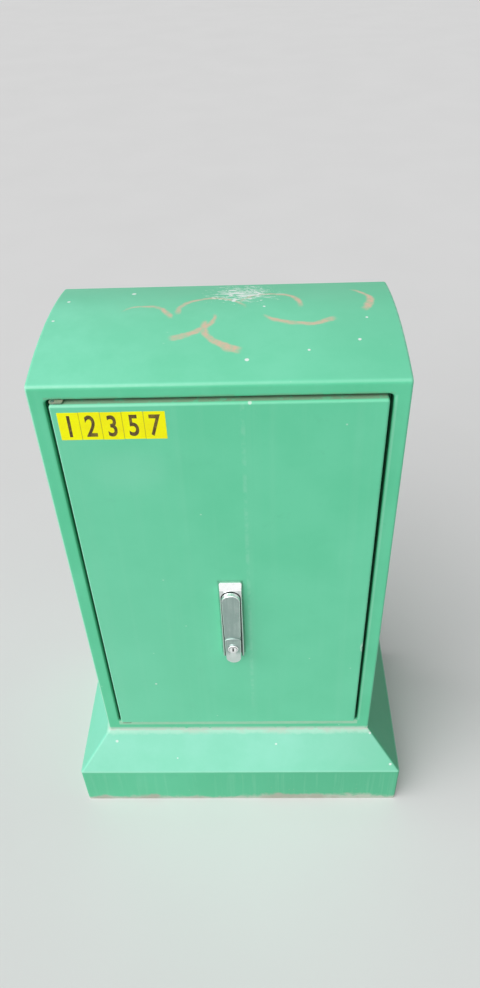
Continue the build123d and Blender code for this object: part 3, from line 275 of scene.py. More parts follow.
def housing_finish():
    """Gel coat of the housing: chalked on top with a painted sheen, streaked and spotted roof, dusty sill under
    the door, painted highlights and shade at its edges and opening.
    """
    finish, tree, point = new_finish("gel_coat_housing")
    colour, rough, height = gel_coat_ground(tree, point)
    x, y, z = add(tree, "SeparateXYZ", {0: point})
    patches = add(tree, "TexNoise", {"Vector": point, "Scale": 1 / 60, "Detail": 6.0, "Roughness": 0.62})[0]
    rubbed = add(tree, "TexNoise", {"Vector": point, "Scale": 1 / 12, "Detail": 4.0})[0]
    torn = add(tree, "TexNoise", {"Vector": point, "Scale": 1 / 9, "Detail": 3.0, "Roughness": 0.6})[0]
    drift = add(tree, "TexNoise", {"Vector": point, "Scale": 1 / 30, "Detail": 2.0})["Color"]
    drift = add(tree, "VectorMath", {0: drift, 1: (0.5, 0.5, 0.5)}, operation="SUBTRACT")[0]

    # Chalk from sun and rain with a painted sheen turns the roof pale, painted lighter to the left where light
    # falls; painted shade darkens its right, and the back third of it is greyer
    roof = reach(tree, point, (0.0, 0.0, ROOF_AXIS), (0.0, 1.0, 1.0))
    top = ramp(tree, roof, ROOF_RADIUS - 2.6, ROOF_RADIUS - 0.4)
    chalk_and_painted_sheen = both(tree, top, add(tree, "Mix", {0: ramp(tree, patches, 0.3, 0.7), 2: 0.55, 3: 0.8})[0])
    pale = paint(tree, "7edfb8", [(ramp(tree, x, -30.0, -230.0), "8aeac6")])
    coats = [(chalk_and_painted_sheen, pale),
             (both(tree, top, ramp(tree, y, 10.0, 125.0), 0.55), "5fbb93"),
             (both(tree, top, ramp(tree, x, 60.0, 240.0), 0.4), "5cc297")]
    rough = total(tree, rough, (chalk_and_painted_sheen, 0.1))

    # Faded brush strokes on the roof
    wavering = add(tree, "VectorMath", {0: drift, 1: (14.0, 14.0, 0.0), 2: point},
                   operation="MULTIPLY_ADD")[0]
    worn = add(tree, "Mix", {0: ramp(tree, torn, 0.3, 0.6), 2: 0.5, 3: 1.0})[0]
    coats += [(both(tree, brush_strokes(tree, wavering), worn, top, 0.9), "e2bfa6")]

    # Pale spatter wiped along the back of the roof
    wide = add(tree, "VectorMath", {0: point, 1: (0.3, 1.0, 0.0)}, operation="MULTIPLY")[0]
    wisps = add(tree, "TexNoise", {"Vector": wide, "Scale": 1 / 6, "Detail": 6.0, "Roughness": 0.7,
                                   "Distortion": 1.6})[0]
    home = reach(tree, point, (32.0, 92.0, 984.0), (0.016, 0.021, 0.02))
    wisps = add(tree, "Math", {0: wisps, 1: total(tree, 0.4, (home, 0.2))}, operation="SUBTRACT")[0]
    coats += [(both(tree, ramp(tree, wisps, 0.0, 0.06), ramp(tree, home, 1.3, 0.9), top, 0.92), "f0f8f4")]

    # Single bright specks with uneven outlines
    jitter = add(tree, "VectorMath", {0: drift, 1: (3.0, 3.0, 3.0), 2: point}, operation="MULTIPLY_ADD")[0]
    coats += [(both(tree, spots(tree, jitter, ROOF_SPECKS, 0.6), 0.95), "f2faf6")]

    # Rubbed edges with painted highlights: the fold over the door, stronger to the left where light falls, the
    # two sides of the roof, and the left front corner
    fold_wear_and_highlight = both(tree, band(tree, z, FOLD - 1.2, 0.6, 1.7), ramp(tree, y, FRONT + 8.5, FRONT + 1.5),
                add(tree, "Mix", {0: rubbed, 2: 0.35, 3: 1.0})[0],
                add(tree, "Mix", {0: ramp(tree, x, 120.0, -230.0), 2: 0.3, 3: 0.8})[0])
    sides_wear_and_highlight = both(tree, band(tree, away(tree, x, 0.0), HALF_WIDTH - 1.0, 1.0, 3.0),
                 band(tree, roof, ROOF_RADIUS - 2.5, 1.5, 3.0), ramp(tree, rubbed, 0.35, 0.7), 0.5)
    corner = both(tree, ramp(tree, x, 3.2 - HALF_WIDTH, 1.8 - HALF_WIDTH),
                  ramp(tree, y, FRONT + 6.0, FRONT + 2.5),
                  add(tree, "Mix", {0: rubbed, 2: 0.6, 3: 1.0})[0], 0.85)
    coats += [(fold_wear_and_highlight, "a8efd2"), (sides_wear_and_highlight, "9fe2c6"), (corner, "b2ecd3")]

    # The opening: dust on the rolled edge under the door, painted shade deep in the reveal, painted shade down
    # the rolled edge on its left, a painted highlight down the rolled edge on its right, and dust in the rolled
    # edge at its head
    inner = both(tree, band(tree, x, 0.0, OPENING_HALF_WIDTH + 0.5, 1.0), ramp(tree, y, -108.0, -117.0))
    sill = both(tree, inner, band(tree, z, 211.5, 4.0, 3.0),
                add(tree, "Mix", {0: rubbed, 2: 0.45, 3: 1.0})[0], 0.75)
    reveal_painted_shade = both(tree, inner, band(tree, z, OPENING_MIDDLE, OPENING_HALF_HEIGHT + 0.5, 1.0),
                ramp(tree, y, FRONT + 1.5, FRONT + 5.5), 0.8)
    beside = band(tree, z, OPENING_MIDDLE, OPENING_HALF_HEIGHT - 3.0, 4.0)
    left_roll_painted_shade = both(tree, band(tree, x, -OPENING_HALF_WIDTH - 2.2, 1.2, 1.6),
                ramp(tree, y, FRONT + 0.1, FRONT + 1.1), ramp(tree, y, FRONT + 12.5, FRONT + 6.5), beside, 0.55)
    right_roll_highlight = both(tree, band(tree, x, OPENING_HALF_WIDTH + 3.0, 1.0, 1.6),
                 ramp(tree, y, FRONT + 2.9, FRONT + 1.5), beside, 0.36)
    head = both(tree, inner, ramp(tree, z, 951.0, 953.5), ramp(tree, z, 957.0, 954.5),
                ramp(tree, rubbed, 0.3, 0.6), 0.35)
    coats += [(sill, "c0dcc4"), (reveal_painted_shade, "27684b"), (left_roll_painted_shade, "2c7a54"), (right_roll_highlight, "a0e6c6"), (head, "8b9c7f")]

    # A pale line of dust and old sealer where the housing stands on the plinth
    sealer = both(tree, ramp(tree, z, JOINT + 8.5, JOINT + 2.0), ramp(tree, rubbed, 0.26, 0.46), 0.75)
    coats += [(sealer, "c4dccb")]

    # Inside: below the roof's inner skin and between the walls
    inside = both(tree, ramp(tree, roof, ROOF_RADIUS - 1.8, ROOF_RADIUS - 2.2),
                  ramp(tree, z, JOINT + 2.2, JOINT + 2.6), band(tree, x, 0.0, HALF_WIDTH - 2.2, 0.4),
                  band(tree, y, 11.7, 128.5, 0.4))
    return close_gel_coat(finish, point, paint(tree, colour, coats), rough, height, inside)


def door_finish():
    """Gel coat of the door: cleaner, with wash marks down its face and dust on its upper and lower edges,
    painted light to the left, painted highlights on its edges and a painted shadow beside the handle.
    """
    finish, tree, point = new_finish("gel_coat_door")
    colour, rough, height = gel_coat_ground(tree, point)
    x, y, z = add(tree, "SeparateXYZ", {0: point})
    outer = ramp(tree, y, DOOR_FACE + 3.0, DOOR_FACE + 1.0)
    ragged = add(tree, "TexNoise", {"Vector": point, "Scale": 1 / 16, "Detail": 5.0, "Roughness": 0.65})[0]

    # Painted light: the left of the face is painted a shade lighter than the right, as light falls from the
    # left, most of all below the number strip
    side = add(tree, "Mix", {0: ramp(tree, x, 60.0, -210.0), 2: 0.14, 3: 0.4})[0]
    side = total(tree, side, (ramp(tree, z, 800.0, 400.0), 0.14))
    bloom = reach(tree, point, (-130.0, DOOR_FACE, 838.0), (0.014, 0.0, 0.02))
    coats = [(side, "7cdab4"), (both(tree, ramp(tree, bloom, 1.1, 0.3), 0.3), "86dcb9")]

    # Wash marks: broad ones all over and one narrow one right of the handle
    tall = add(tree, "VectorMath", {0: point, 1: (1.0, 0.0, 0.012)}, operation="MULTIPLY")[0]
    marks = add(tree, "TexNoise", {"Vector": tall, "Scale": 1 / 22, "Detail": 5.0, "Roughness": 0.6})[0]
    drip = both(tree, band(tree, x, 31.0, 1.2, 3.0), ramp(tree, z, 246.0, 320.0),
                ramp(tree, ragged, 0.4, 0.6), outer, 0.22)
    coats += [(both(tree, ramp(tree, marks, 0.5, 0.75), 0.14, outer), "86d9b5"), (drip, "a5e0c6")]

    # Dust along the top edge, whose front carries a painted highlight, stronger to the left, as the left edge
    # does; a broken beige line low down
    high = both(tree, ramp(tree, z, DOOR_TOP - 1.1, DOOR_TOP - 0.3), ramp(tree, y, -147.0, -145.2),
                ramp(tree, ragged, 0.28, 0.5), 0.75)
    top_edge_highlight = both(tree, band(tree, z, DOOR_TOP - 0.7, 1.4, 1.4), ramp(tree, y, -145.4, -147.2),
               add(tree, "Mix", {0: ramp(tree, x, 60.0, -215.0), 2: 0.22, 3: 0.55})[0])
    left = both(tree, ramp(tree, x, DOOR_LEFT + 2.1, DOOR_LEFT + 1.1), ramp(tree, y, -146.4, -147.6),
                add(tree, "Mix", {0: ragged, 2: 0.5, 3: 1.0})[0], 0.85)
    low = both(tree, ramp(tree, z, DOOR_FOOT + 4.5, DOOR_FOOT + 2.0),
               add(tree, "Mix", {0: ramp(tree, ragged, 0.33, 0.52), 2: 0.4, 3: 1.0})[0], 0.8)
    beige = paint(tree, "bcd9bf", [(ramp(tree, x, 0.0, 200.0), "c9cfb4")])
    coats += [(high, "8f9880"), (top_edge_highlight, "a0e9c9"), (left, "b2ecd3"), (low, beige)]

    # A scuff at the right edge, one pale speck low on the left and one on the top edge
    scuff = reach(tree, point, (219.5, -148.0, 446.0), (0.22, 0.2, 0.06))
    scuff = both(tree, ramp(tree, scuff, 1.0, 0.5), ramp(tree, ragged, 0.42, 0.5), 0.8)
    speck = spots(tree, point, [(-142.0, DOOR_FACE, 347.0, 2.6)], 1.4 / 2.6)
    fleck = spots(tree, point, [(41.0, -148.5, 946.5, 3.2)], 2.0 / 3.2)
    coats += [(either(tree, scuff, speck, fleck), "c9e6d6")]

    # Round the handle: a darker band round it, a painted shadow on its right, and a darker outline of the tray
    halo = both(tree, band(tree, x, PIVOT[0], 18.0, 6.0), ramp(tree, z, 425.0, 440.0),
                ramp(tree, z, 622.0, 612.0), outer, ramp(tree, ragged, 0.25, 0.6), 0.35)
    handle_painted_shadow = both(tree, ramp(tree, x, 34.0, 21.0), ramp(tree, x, 18.0, 20.0), ramp(tree, z, 440.0, 462.0),
               ramp(tree, z, 600.0, 540.0), outer, 0.4)
    beyond = add(tree, "Math", {0: away(tree, z, TRAY_MIDDLE), 1: TRAY_HALF_WIDTH - TRAY_HALF_HEIGHT},
                 operation="ADD")[0]
    outline = either(tree, away(tree, x, PIVOT[0]), beyond)
    outline = both(tree, ramp(tree, outline, TRAY_HALF_WIDTH + 2.4, TRAY_HALF_WIDTH + 1.0), outer,
                   add(tree, "Mix", {0: ragged, 2: 0.4, 3: 1.0})[0], 0.75)
    coats += [(halo, "57a883"), (handle_painted_shadow, "3b9068"), (outline, "3d7f62")]

    inside = both(tree, band(tree, x, 0.0, -DOOR_LEFT - 2.2, 0.4), band(tree, z, 585.25, 360.0, 0.4),
                  ramp(tree, y, DOOR_FACE + 1.8, DOOR_FACE + 2.2))
    return close_gel_coat(finish, point, paint(tree, colour, coats), rough, height, inside)


def plinth_finish():
    """Gel coat of the plinth: the most chalked, dusty on its slopes and splashed with soil at the ground, with
    painted sheen and shade on its slopes.
    """
    finish, tree, point = new_finish("gel_coat_plinth")
    colour, rough, height = gel_coat_ground(tree, point)
    x, y, z = add(tree, "SeparateXYZ", {0: point})
    aside, _, up = add(tree, "SeparateXYZ", {0: add(tree, "NewGeometry")["Normal"]})
    ragged = add(tree, "TexNoise", {"Vector": point, "Scale": 1 / 16, "Detail": 6.0, "Roughness": 0.65})[0]
    patches = add(tree, "TexNoise", {"Vector": point, "Scale": 1 / 70, "Detail": 5.0, "Roughness": 0.6})[0]
    elsewhere = ramp(tree, aside, 0.6, 0.4)

    # Chalk with a painted sheen on the slopes, stronger towards their top; its pale is painted darker to the
    # right and on the left-facing slope, painted shade, and the right-facing slope gets no chalk and is painted
    # dark, a painted shade
    chalk_and_painted_sheen = both(tree, ramp(tree, up, 0.2, 0.4), elsewhere,
                 add(tree, "Mix", {0: ramp(tree, z, BAND, JOINT), 2: 0.86, 3: 1.0})[0],
                 add(tree, "Mix", {0: ramp(tree, patches, 0.3, 0.7), 2: 0.8, 3: 1.0})[0])
    pale = paint(tree, "99e6cc", [(ramp(tree, x, 60.0, 300.0), "88d6b8"),
                                  (ramp(tree, aside, -0.4, -0.6), "86dfc2")])
    coats = [(chalk_and_painted_sheen, pale), (both(tree, ramp(tree, aside, 0.4, 0.6), 0.85), "3f9d74")]
    rough = total(tree, rough, (chalk_and_painted_sheen, 0.12))

    # The pale line of washed-down dust under the housing, in places reddish
    warm = ramp(tree, patches, 0.46, 0.64)
    washed = ramp(tree, total(tree, z, (ragged, 14.0)), JOINT - 7.0, JOINT + 2.0)
    silt = both(tree, ramp(tree, z, JOINT - 4.0, JOINT - 1.6), elsewhere, ramp(tree, ragged, 0.34, 0.52), 0.7)
    coats += [(both(tree, washed, elsewhere, 0.72), paint(tree, "bfeed8", [(warm, "cddccb")])),
              (silt, "ccd0c6")]

    # The rubbed edge between slope and band, with a painted highlight; painted shade keeps the band darker,
    # most of all to the right
    band_edge_wear_and_highlight = both(tree, band(tree, z, BAND + 0.5, 1.2, 3.5),
                add(tree, "Mix", {0: ragged, 2: 0.3, 3: 1.0})[0], 0.55)
    band_painted_shade = both(tree, add(tree, "Mix", {0: ramp(tree, x, -250.0, 200.0), 2: 0.2, 3: 0.62})[0],
                ramp(tree, z, BAND + 0.5, BAND - 1.0))
    coats += [(band_edge_wear_and_highlight, "9fe3c6"), (band_painted_shade, "47ad81")]

    # Water marks down the band
    tall = add(tree, "VectorMath", {0: point, 1: (1.0, 1.0, 0.03)}, operation="MULTIPLY")[0]
    runs = add(tree, "TexNoise", {"Vector": tall, "Scale": 1 / 9, "Detail": 4.0, "Roughness": 0.6})[0]
    coats += [(both(tree, ramp(tree, runs, 0.5, 0.72), ramp(tree, z, BAND, BAND - 12.0), 0.22), "8dd5b4")]

    # Soil splashed and dried along the ground, more of it to the right, with single drops above it and specks
    # on the slopes
    soil_top = total(tree, -23.0, (patches, 40.0), (ragged, 26.0), (ramp(tree, x, -120.0, 260.0), 7.0))
    buried = add(tree, "Math", {0: soil_top, 1: z}, operation="SUBTRACT")[0]
    soil = both(tree, ramp(tree, buried, -5.0, 8.0), 0.95)
    splash = add(tree, "TexVoronoi", {"Vector": point, "Scale": 1 / 9, "Randomness": 1.0})
    chosen = add(tree, "SeparateColor", {0: splash["Color"]})[0]
    drops = both(tree, ramp(tree, splash["Distance"], 0.16, 0.1), ramp(tree, chosen, 0.72, 0.76),
                 ramp(tree, z, 80.0, 10.0), 0.45)
    coats += [(soil, paint(tree, "bfc6b8", [(warm, "b2b1a3")])), (drops, "b8b8a4"),
              (both(tree, spots(tree, point, PLINTH_SPECKS, 0.5), 0.9), "e8f6ee")]
    rough = add(tree, "Mix", {0: soil, 2: rough, 3: 0.85})[0]
    height = total(tree, height, (soil, 0.12))

    # Inside: within the skirt, whose walls lean in above the band
    lean = add(tree, "Math", {0: z, 1: BAND}, operation="SUBTRACT")[0]
    lean = add(tree, "Math", {0: lean, 1: 0.0}, operation="MAXIMUM")[0]
    slope = JOINT - BAND
    across = total(tree, away(tree, x, 0.0), (lean, (FOOT_X - HALF_WIDTH) / slope))
    along = total(tree, away(tree, y, 0.0), (lean, (FOOT_Y + FRONT) / slope))
    inside = both(tree, ramp(tree, across, FOOT_X - 2.3, FOOT_X - 2.7),
                  ramp(tree, along, FOOT_Y - 2.3, FOOT_Y - 2.7), ramp(tree, z, JOINT - 2.0, JOINT - 2.4))
    return close_gel_coat(finish, point, paint(tree, colour, coats), rough, height, inside)


# Metals

def lever_finish():
    """Chrome on die-cast zinc: its face dulled grey-green by hands and rain, its edges still bright."""
    finish, tree, point = new_finish("weathered_chrome_lever")
    z = add(tree, "SeparateXYZ", {0: point})[2]
    tall = add(tree, "VectorMath", {0: point, 1: (1.0, 1.0, 0.03)}, operation="MULTIPLY")[0]
    # Polish marks are about 0.05 mm wide; drawn at 0.5 mm so that they show
    grain = add(tree, "TexNoise", {"Vector": tall, "Scale": 2.0, "Detail": 3.0, "Roughness": 0.7})[0]
    streaks = add(tree, "TexNoise", {"Vector": tall, "Scale": 0.3, "Detail": 3.0, "Roughness": 0.6})[0]
    haze = add(tree, "TexNoise", {"Vector": point, "Scale": 1 / 16, "Detail": 5.0, "Roughness": 0.65})[0]
    haze = both(tree, ramp(tree, haze, 0.3, 0.7), ramp(tree, streaks, 0.3, 0.7))
    cells = add(tree, "TexVoronoi", {"Vector": point, "Scale": 1 / 3.4, "Randomness": 1.0})
    chosen = add(tree, "SeparateColor", {0: cells["Color"]})[0]
    pits = both(tree, ramp(tree, cells["Distance"], 0.14, 0.06), ramp(tree, chosen, 0.6, 0.64))
    # Dulled face, painted lighter towards its foot below the lock: a painted highlight
    dull = paint(tree, "a5b9b4", [
        (haze, "c0cfca"),
        (both(tree, ramp(tree, grain, 0.5, 0.75), 0.35), "cfd9d5"),
        (both(tree, ramp(tree, z, LOCK_HEIGHT - 6.7, LOCK_HEIGHT - 18.7), 0.85), "e8f0ed"),
        (both(tree, pits, 0.6), "6d7572"),
    ])
    # Bright edges; the step at the raised zone's edge is painted darker, a painted shade that tones down its
    # highlight
    bright = paint(tree, "e6eae9", [(band(tree, z, RAISED_EDGE, 3.0, 2.0), "98a9a4")])
    facing = add(tree, "SeparateXYZ", {0: add(tree, "TexCoord")["Normal"]})[1]
    face = ramp(tree, facing, -0.95, -0.985)
    worn = total(tree, add(tree, "Mix", {0: haze, 2: 0.3, 3: 0.42})[0], (pits, 0.25))
    rough = add(tree, "Mix", {0: face, 2: 0.42, 3: worn})[0]
    height = total(tree, both(tree, pits, -0.05), (grain, 0.012))
    return close_finish(finish, paint(tree, bright, [(face, dull)]), rough, height, {"Metallic": 1.0})


def tray_finish():
    """Chrome on die-cast zinc where rain washes it: nearly white, with soft stains, a painted green reflection
    low down, and darker in the pocket.
    """
    finish, tree, point = new_finish("bright_chrome_tray")
    x, _, z = add(tree, "SeparateXYZ", {0: point})
    stains = add(tree, "TexNoise", {"Vector": point, "Scale": 1 / 9, "Detail": 5.0, "Roughness": 0.65})[0]
    stains = both(tree, ramp(tree, stains, 0.45, 0.75), 0.35)
    across = add(tree, "Math", {0: x, 1: PIVOT[0]}, operation="SUBTRACT")[0]
    rise = add(tree, "Math", {0: z, 1: PIVOT[1]}, operation="SUBTRACT")[0]
    rise = add(tree, "Math", {0: rise, 1: 0.0}, operation="MAXIMUM")[0]
    off = add(tree, "CombineXYZ", {0: across, 1: rise})[0]
    off = add(tree, "VectorMath", {0: off}, operation="LENGTH")["Value"]
    pocket = both(tree, ramp(tree, off, 16.1, 15.95), ramp(tree, z, PIVOT[1] + 12.5, PIVOT[1] + 3.5))
    # Nearly white with stains; greenish below the pivot, a painted reflection of the green door; darker in the
    # pocket
    colour = paint(tree, "fafbfb", [
        (stains, "c2ccc9"),
        (both(tree, ramp(tree, z, PIVOT[1] + 7.5, PIVOT[1] - 4.5), 0.75), "c0e2d4"),
        (both(tree, pocket, 0.85), "5c6561"),
    ])
    rough = add(tree, "Mix", {0: stains, 2: 0.14, 3: 0.3})[0]
    rough = add(tree, "Mix", {0: pocket, 2: rough, 3: 0.7})[0]
    fine = add(tree, "TexNoise", {"Vector": point, "Scale": 1 / 4, "Detail": 2.0})[0]
    return close_finish(finish, colour, rough, both(tree, fine, 0.02), {"Metallic": 1.0})


def lock_finish():
    """Nickel-plated brass of the lock: turned and bright, with black grease in the seams and the keyway."""
    finish, tree, point = new_finish("nickel_lock")
    centre = (PIVOT[0], 0.0, LOCK_HEIGHT)
    centred = add(tree, "VectorMath", {0: point, 1: centre}, operation="SUBTRACT")[0]
    across, depth, rise = add(tree, "SeparateXYZ", {0: centred})
    radius = reach(tree, point, centre, (1.0, 0.0, 1.0))
    rings = add(tree, "TexNoise", {"Vector": add(tree, "CombineXYZ", {0: radius})[0], "Scale": 2.5,
                                   "Detail": 3.0})[0]
    stains = add(tree, "TexNoise", {"Vector": point, "Scale": 1 / 3, "Detail": 4.0, "Roughness": 0.65})[0]
    shoulder = either(tree, both(tree, ramp(tree, radius, 7.3, 7.8), ramp(tree, depth, -172.4, -171.8)),
                      ramp(tree, radius, 8.6, 9.4))
    seam = band(tree, radius, 6.75, 0.2, 0.45)
    slot = both(tree, band(tree, across, 0.0, 1.0, 0.5), band(tree, rise, 0.0, 4.2, 0.6))
    dirty = either(tree, both(tree, seam, 0.75), both(tree, slot, 0.95))
    # The lobe below the plug is painted lighter than its shoulder: a painted highlight
    colour = paint(tree, "fbfcfc", [
        (ramp(tree, stains, 0.56, 0.76), "b4bab4"),
        (both(tree, shoulder, 0.8), paint(tree, "a9b4b1", [(ramp(tree, rise, -8.0, -10.0), "dde6e3")])),
        (dirty, "33352f"),
    ])
    rough = total(tree, add(tree, "Mix", {0: rings, 2: 0.44, 3: 0.54})[0], (dirty, 0.4))
    return close_finish(finish, colour, rough, both(tree, rings, 0.02), {"Metallic": 1.0})


def zinc_plate_finish():
    """Zinc-plated steel of screws, nuts and pins: bluish grey with white bloom and a little rust."""
    finish, tree, point = new_finish("zinc_plated_steel")
    bloom = add(tree, "TexNoise", {"Vector": point, "Scale": 1 / 3, "Detail": 5.0, "Roughness": 0.7})[0]
    rust = add(tree, "TexNoise", {"Vector": point, "Scale": 1 / 5, "Detail": 4.0})[0]
    rust = both(tree, ramp(tree, rust, 0.66, 0.74), 0.7)
    colour = paint(tree, "a9b0b4", [(ramp(tree, bloom, 0.45, 0.72), "c8ccc8"), (rust, "8a5a3a")])
    rough = add(tree, "Mix", {0: bloom, 2: 0.28, 3: 0.5})[0]
    metal = total(tree, 1.0, (rust, -0.9))
    return close_finish(finish, colour, rough, both(tree, bloom, 0.02), {"Metallic": metal})


def hinge_finish():
    """Steel hinge brackets painted over in the housing's green: satin, dusty, bare where the pin rubs."""
    finish, tree, point = new_finish("painted_hinge_steel")
    dirt = add(tree, "TexNoise", {"Vector": point, "Scale": 1 / 9, "Detail": 5.0})[0]
    radius = reach(tree, point, (HINGE[0], HINGE[1], 0.0), (1.0, 1.0, 0.0))
    bare = both(tree, ramp(tree, radius, 3.2, 2.6), ramp(tree, dirt, 0.3, 0.5))
    colour = paint(tree, "7c9c80", [(ramp(tree, dirt, 0.35, 0.7), "a09c88"), (bare, "8f9792")])
    rough = add(tree, "Mix", {0: dirt, 2: 0.42, 3: 0.6})[0]
    brush = add(tree, "TexNoise", {"Vector": point, "Scale": 1 / 1.5, "Detail": 3.0})[0]
    return close_finish(finish, colour, rough, both(tree, brush, 0.04), {"Metallic": bare})


def galvanised_finish():
    """Hot-dip galvanised sheet: zinc crystals 8 to 15 mm across, each a slightly different grey."""
    finish, tree, point = new_finish("galvanised_sheet")
    warp = add(tree, "TexNoise", {"Vector": point, "Scale": 1 / 8, "Detail": 2.0})["Color"]
    bent = add(tree, "VectorMath", {0: warp, 1: (5.0, 5.0, 5.0), 2: point}, operation="MULTIPLY_ADD")[0]
    crystals = add(tree, "TexVoronoi", {"Vector": bent, "Scale": 1 / 11, "Randomness": 1.0})["Color"]
    shade, gloss, raised = add(tree, "SeparateColor", {0: crystals})
    bloom = add(tree, "TexNoise", {"Vector": point, "Scale": 1 / 24, "Detail": 5.0, "Roughness": 0.7})[0]
    white = both(tree, ramp(tree, bloom, 0.58, 0.75), 0.5)
    colour = paint(tree, "9fa6a9", [(shade, "c3c9cb"), (white, "d4d7d3")])
    rough = total(tree, add(tree, "Mix", {0: gloss, 2: 0.32, 3: 0.52})[0], (white, 0.4))
    return close_finish(finish, colour, rough, both(tree, raised, 0.03), {"Metallic": 1.0})


def aluminium_finish():
    """Mill-finish aluminium sheet of the base plate: rolling lines along its width, dull and stained."""
    finish, tree, point = new_finish("mill_aluminium")
    # Rolling lines are about 0.1 mm apart; drawn at 1.2 mm so that they show
    long = add(tree, "VectorMath", {0: point, 1: (0.03, 1.0, 1.0)}, operation="MULTIPLY")[0]
    lines = add(tree, "TexNoise", {"Vector": long, "Scale": 1 / 1.2, "Detail": 4.0})[0]
    stains = add(tree, "TexNoise", {"Vector": point, "Scale": 1 / 45, "Detail": 5.0})[0]
    colour = paint(tree, "c6c9cb", [(ramp(tree, stains, 0.35, 0.7), "a6a8a5")])
    rough = add(tree, "Mix", {0: lines, 2: 0.3, 3: 0.52})[0]
    return close_finish(finish, colour, rough, both(tree, lines, 0.02), {"Metallic": 1.0})


def brass_finish():
    """Drawn brass bar of the earth rail: warm yellow, browned by tarnish."""
    finish, tree, point = new_finish("tarnished_brass")
    # Lines from the drawing die are about 0.1 mm apart; drawn at 1.5 mm so that they show
    long = add(tree, "VectorMath", {0: point, 1: (0.04, 1.0, 1.0)}, operation="MULTIPLY")[0]
    lines = add(tree, "TexNoise", {"Vector": long, "Scale": 1 / 1.5, "Detail": 3.0})[0]
    tarnish = add(tree, "TexNoise", {"Vector": point, "Scale": 1 / 14, "Detail": 5.0, "Roughness": 0.65})[0]
    colour = paint(tree, "c9a55a", [(ramp(tree, tarnish, 0.4, 0.72), "8d6f3b")])
    rough = add(tree, "Mix", {0: tarnish, 2: 0.24, 3: 0.5})[0]
    return close_finish(finish, colour, rough, both(tree, lines, 0.015), {"Metallic": 1.0})


def tinned_finish():
    """Tin-plated bronze of the contacts: silvery and soft, with darker rubbed patches."""
    finish, tree, point = new_finish("tinned_bronze")
    rubbed = add(tree, "TexNoise", {"Vector": point, "Scale": 1 / 2, "Detail": 3.0})[0]
    colour = paint(tree, "cfd0cc", [(ramp(tree, rubbed, 0.4, 0.7), "a39c88")])
    rough = add(tree, "Mix", {0: rubbed, 2: 0.26, 3: 0.42})[0]
    return close_finish(finish, colour, rough, more={"Metallic": 1.0})


# Plastics, rubber, print and card

def nylon_finish():
    """Glass-filled black nylon, moulded: satin, with pale fibre flecks at the skin."""
    finish, tree, point = new_finish("glass_filled_nylon")
    # Fibres are about 0.01 mm thick; drawn at 0.5 mm so that they show
    long = add(tree, "VectorMath", {0: point, 1: (0.25, 1.0, 1.0)}, operation="MULTIPLY")[0]
    flecks = add(tree, "TexNoise", {"Vector": long, "Scale": 2.0, "Detail": 3.0})[0]
    colour = paint(tree, "1d1e1e", [(ramp(tree, flecks, 0.55, 0.75), "3b3d3c")])
    rough = add(tree, "Mix", {0: flecks, 2: 0.42, 3: 0.6})[0]
    return close_finish(finish, colour, rough, both(tree, flecks, 0.03), {"IOR": 1.53})


def rubber_finish():
    """Black EPDM rubber: matt, with a greyish bloom and dust."""
    finish, tree, point = new_finish("epdm_rubber")
    bloom = add(tree, "TexNoise", {"Vector": point, "Scale": 1 / 12, "Detail": 6.0, "Roughness": 0.7})[0]
    colour = paint(tree, "1f2120", [(ramp(tree, bloom, 0.45, 0.75), "4a4d49")])
    # The moulded skin's grain is about 0.1 mm; drawn at 0.8 mm so that it shows
    skin = add(tree, "TexNoise", {"Vector": point, "Scale": 1 / 0.8, "Detail": 2.0})[0]
    rough = add(tree, "Mix", {0: bloom, 2: 0.68, 3: 0.9})[0]
    return close_finish(finish, colour, rough, both(tree, skin, 0.03), {"IOR": 1.52})


def ivory_plastic_finish():
    """Flame-retardant PBT of the connection modules: ivory, spark-eroded matt skin, a little yellowed."""
    finish, tree, point = new_finish("ivory_pbt")
    aged = add(tree, "TexNoise", {"Vector": point, "Scale": 1 / 40, "Detail": 3.0})[0]
    colour = paint(tree, "e3dfd0", [(ramp(tree, aged, 0.35, 0.65), "d8d0b8")])
    # Spark-eroded grain is about 0.05 mm; drawn at 0.7 mm so that it shows
    skin = add(tree, "TexNoise", {"Vector": point, "Scale": 1 / 0.7, "Detail": 2.0})[0]
    rough = add(tree, "Mix", {0: aged, 2: 0.42, 3: 0.55})[0]
    return close_finish(finish, colour, rough, both(tree, skin, 0.02), {"IOR": 1.55})


def yellow_vinyl_finish():
    """Retroreflective vinyl: lemon yellow over glass beads, which are 0.1 mm across and drawn as 1.6 mm."""
    finish, tree, point = new_finish("reflective_vinyl")
    x = add(tree, "SeparateXYZ", {0: point})[0]
    faded = add(tree, "TexNoise", {"Vector": point, "Scale": 1 / 26, "Detail": 4.0})[0]
    beads = add(tree, "TexVoronoi", {"Vector": point, "Scale": 1 / 1.6, "Randomness": 0.6})["Distance"]
    dirt = add(tree, "TexNoise", {"Vector": point, "Scale": 1 / 5, "Detail": 5.0, "Roughness": 0.7})[0]
    seams = either(tree, *[band(tree, x, seam, 0.3, 0.6) for seam in TILE_SEAMS])
    colour = paint(tree, "ffff06", [
        (ramp(tree, faded, 0.35, 0.7), "fbf412"),
        (both(tree, ramp(tree, beads, 0.5, 0.85), 0.15), "dfd91a"),
        (both(tree, ramp(tree, dirt, 0.62, 0.78), 0.3), "a89f38"),
        (both(tree, seams, 0.4), "7a6c20"),
    ])
    rough = add(tree, "Mix", {0: faded, 2: 0.3, 3: 0.42})[0]
    height = both(tree, beads, 0.03)
    return close_finish(finish, colour, rough, height, {"IOR": 1.5, "Specular IOR Level": 0.15})


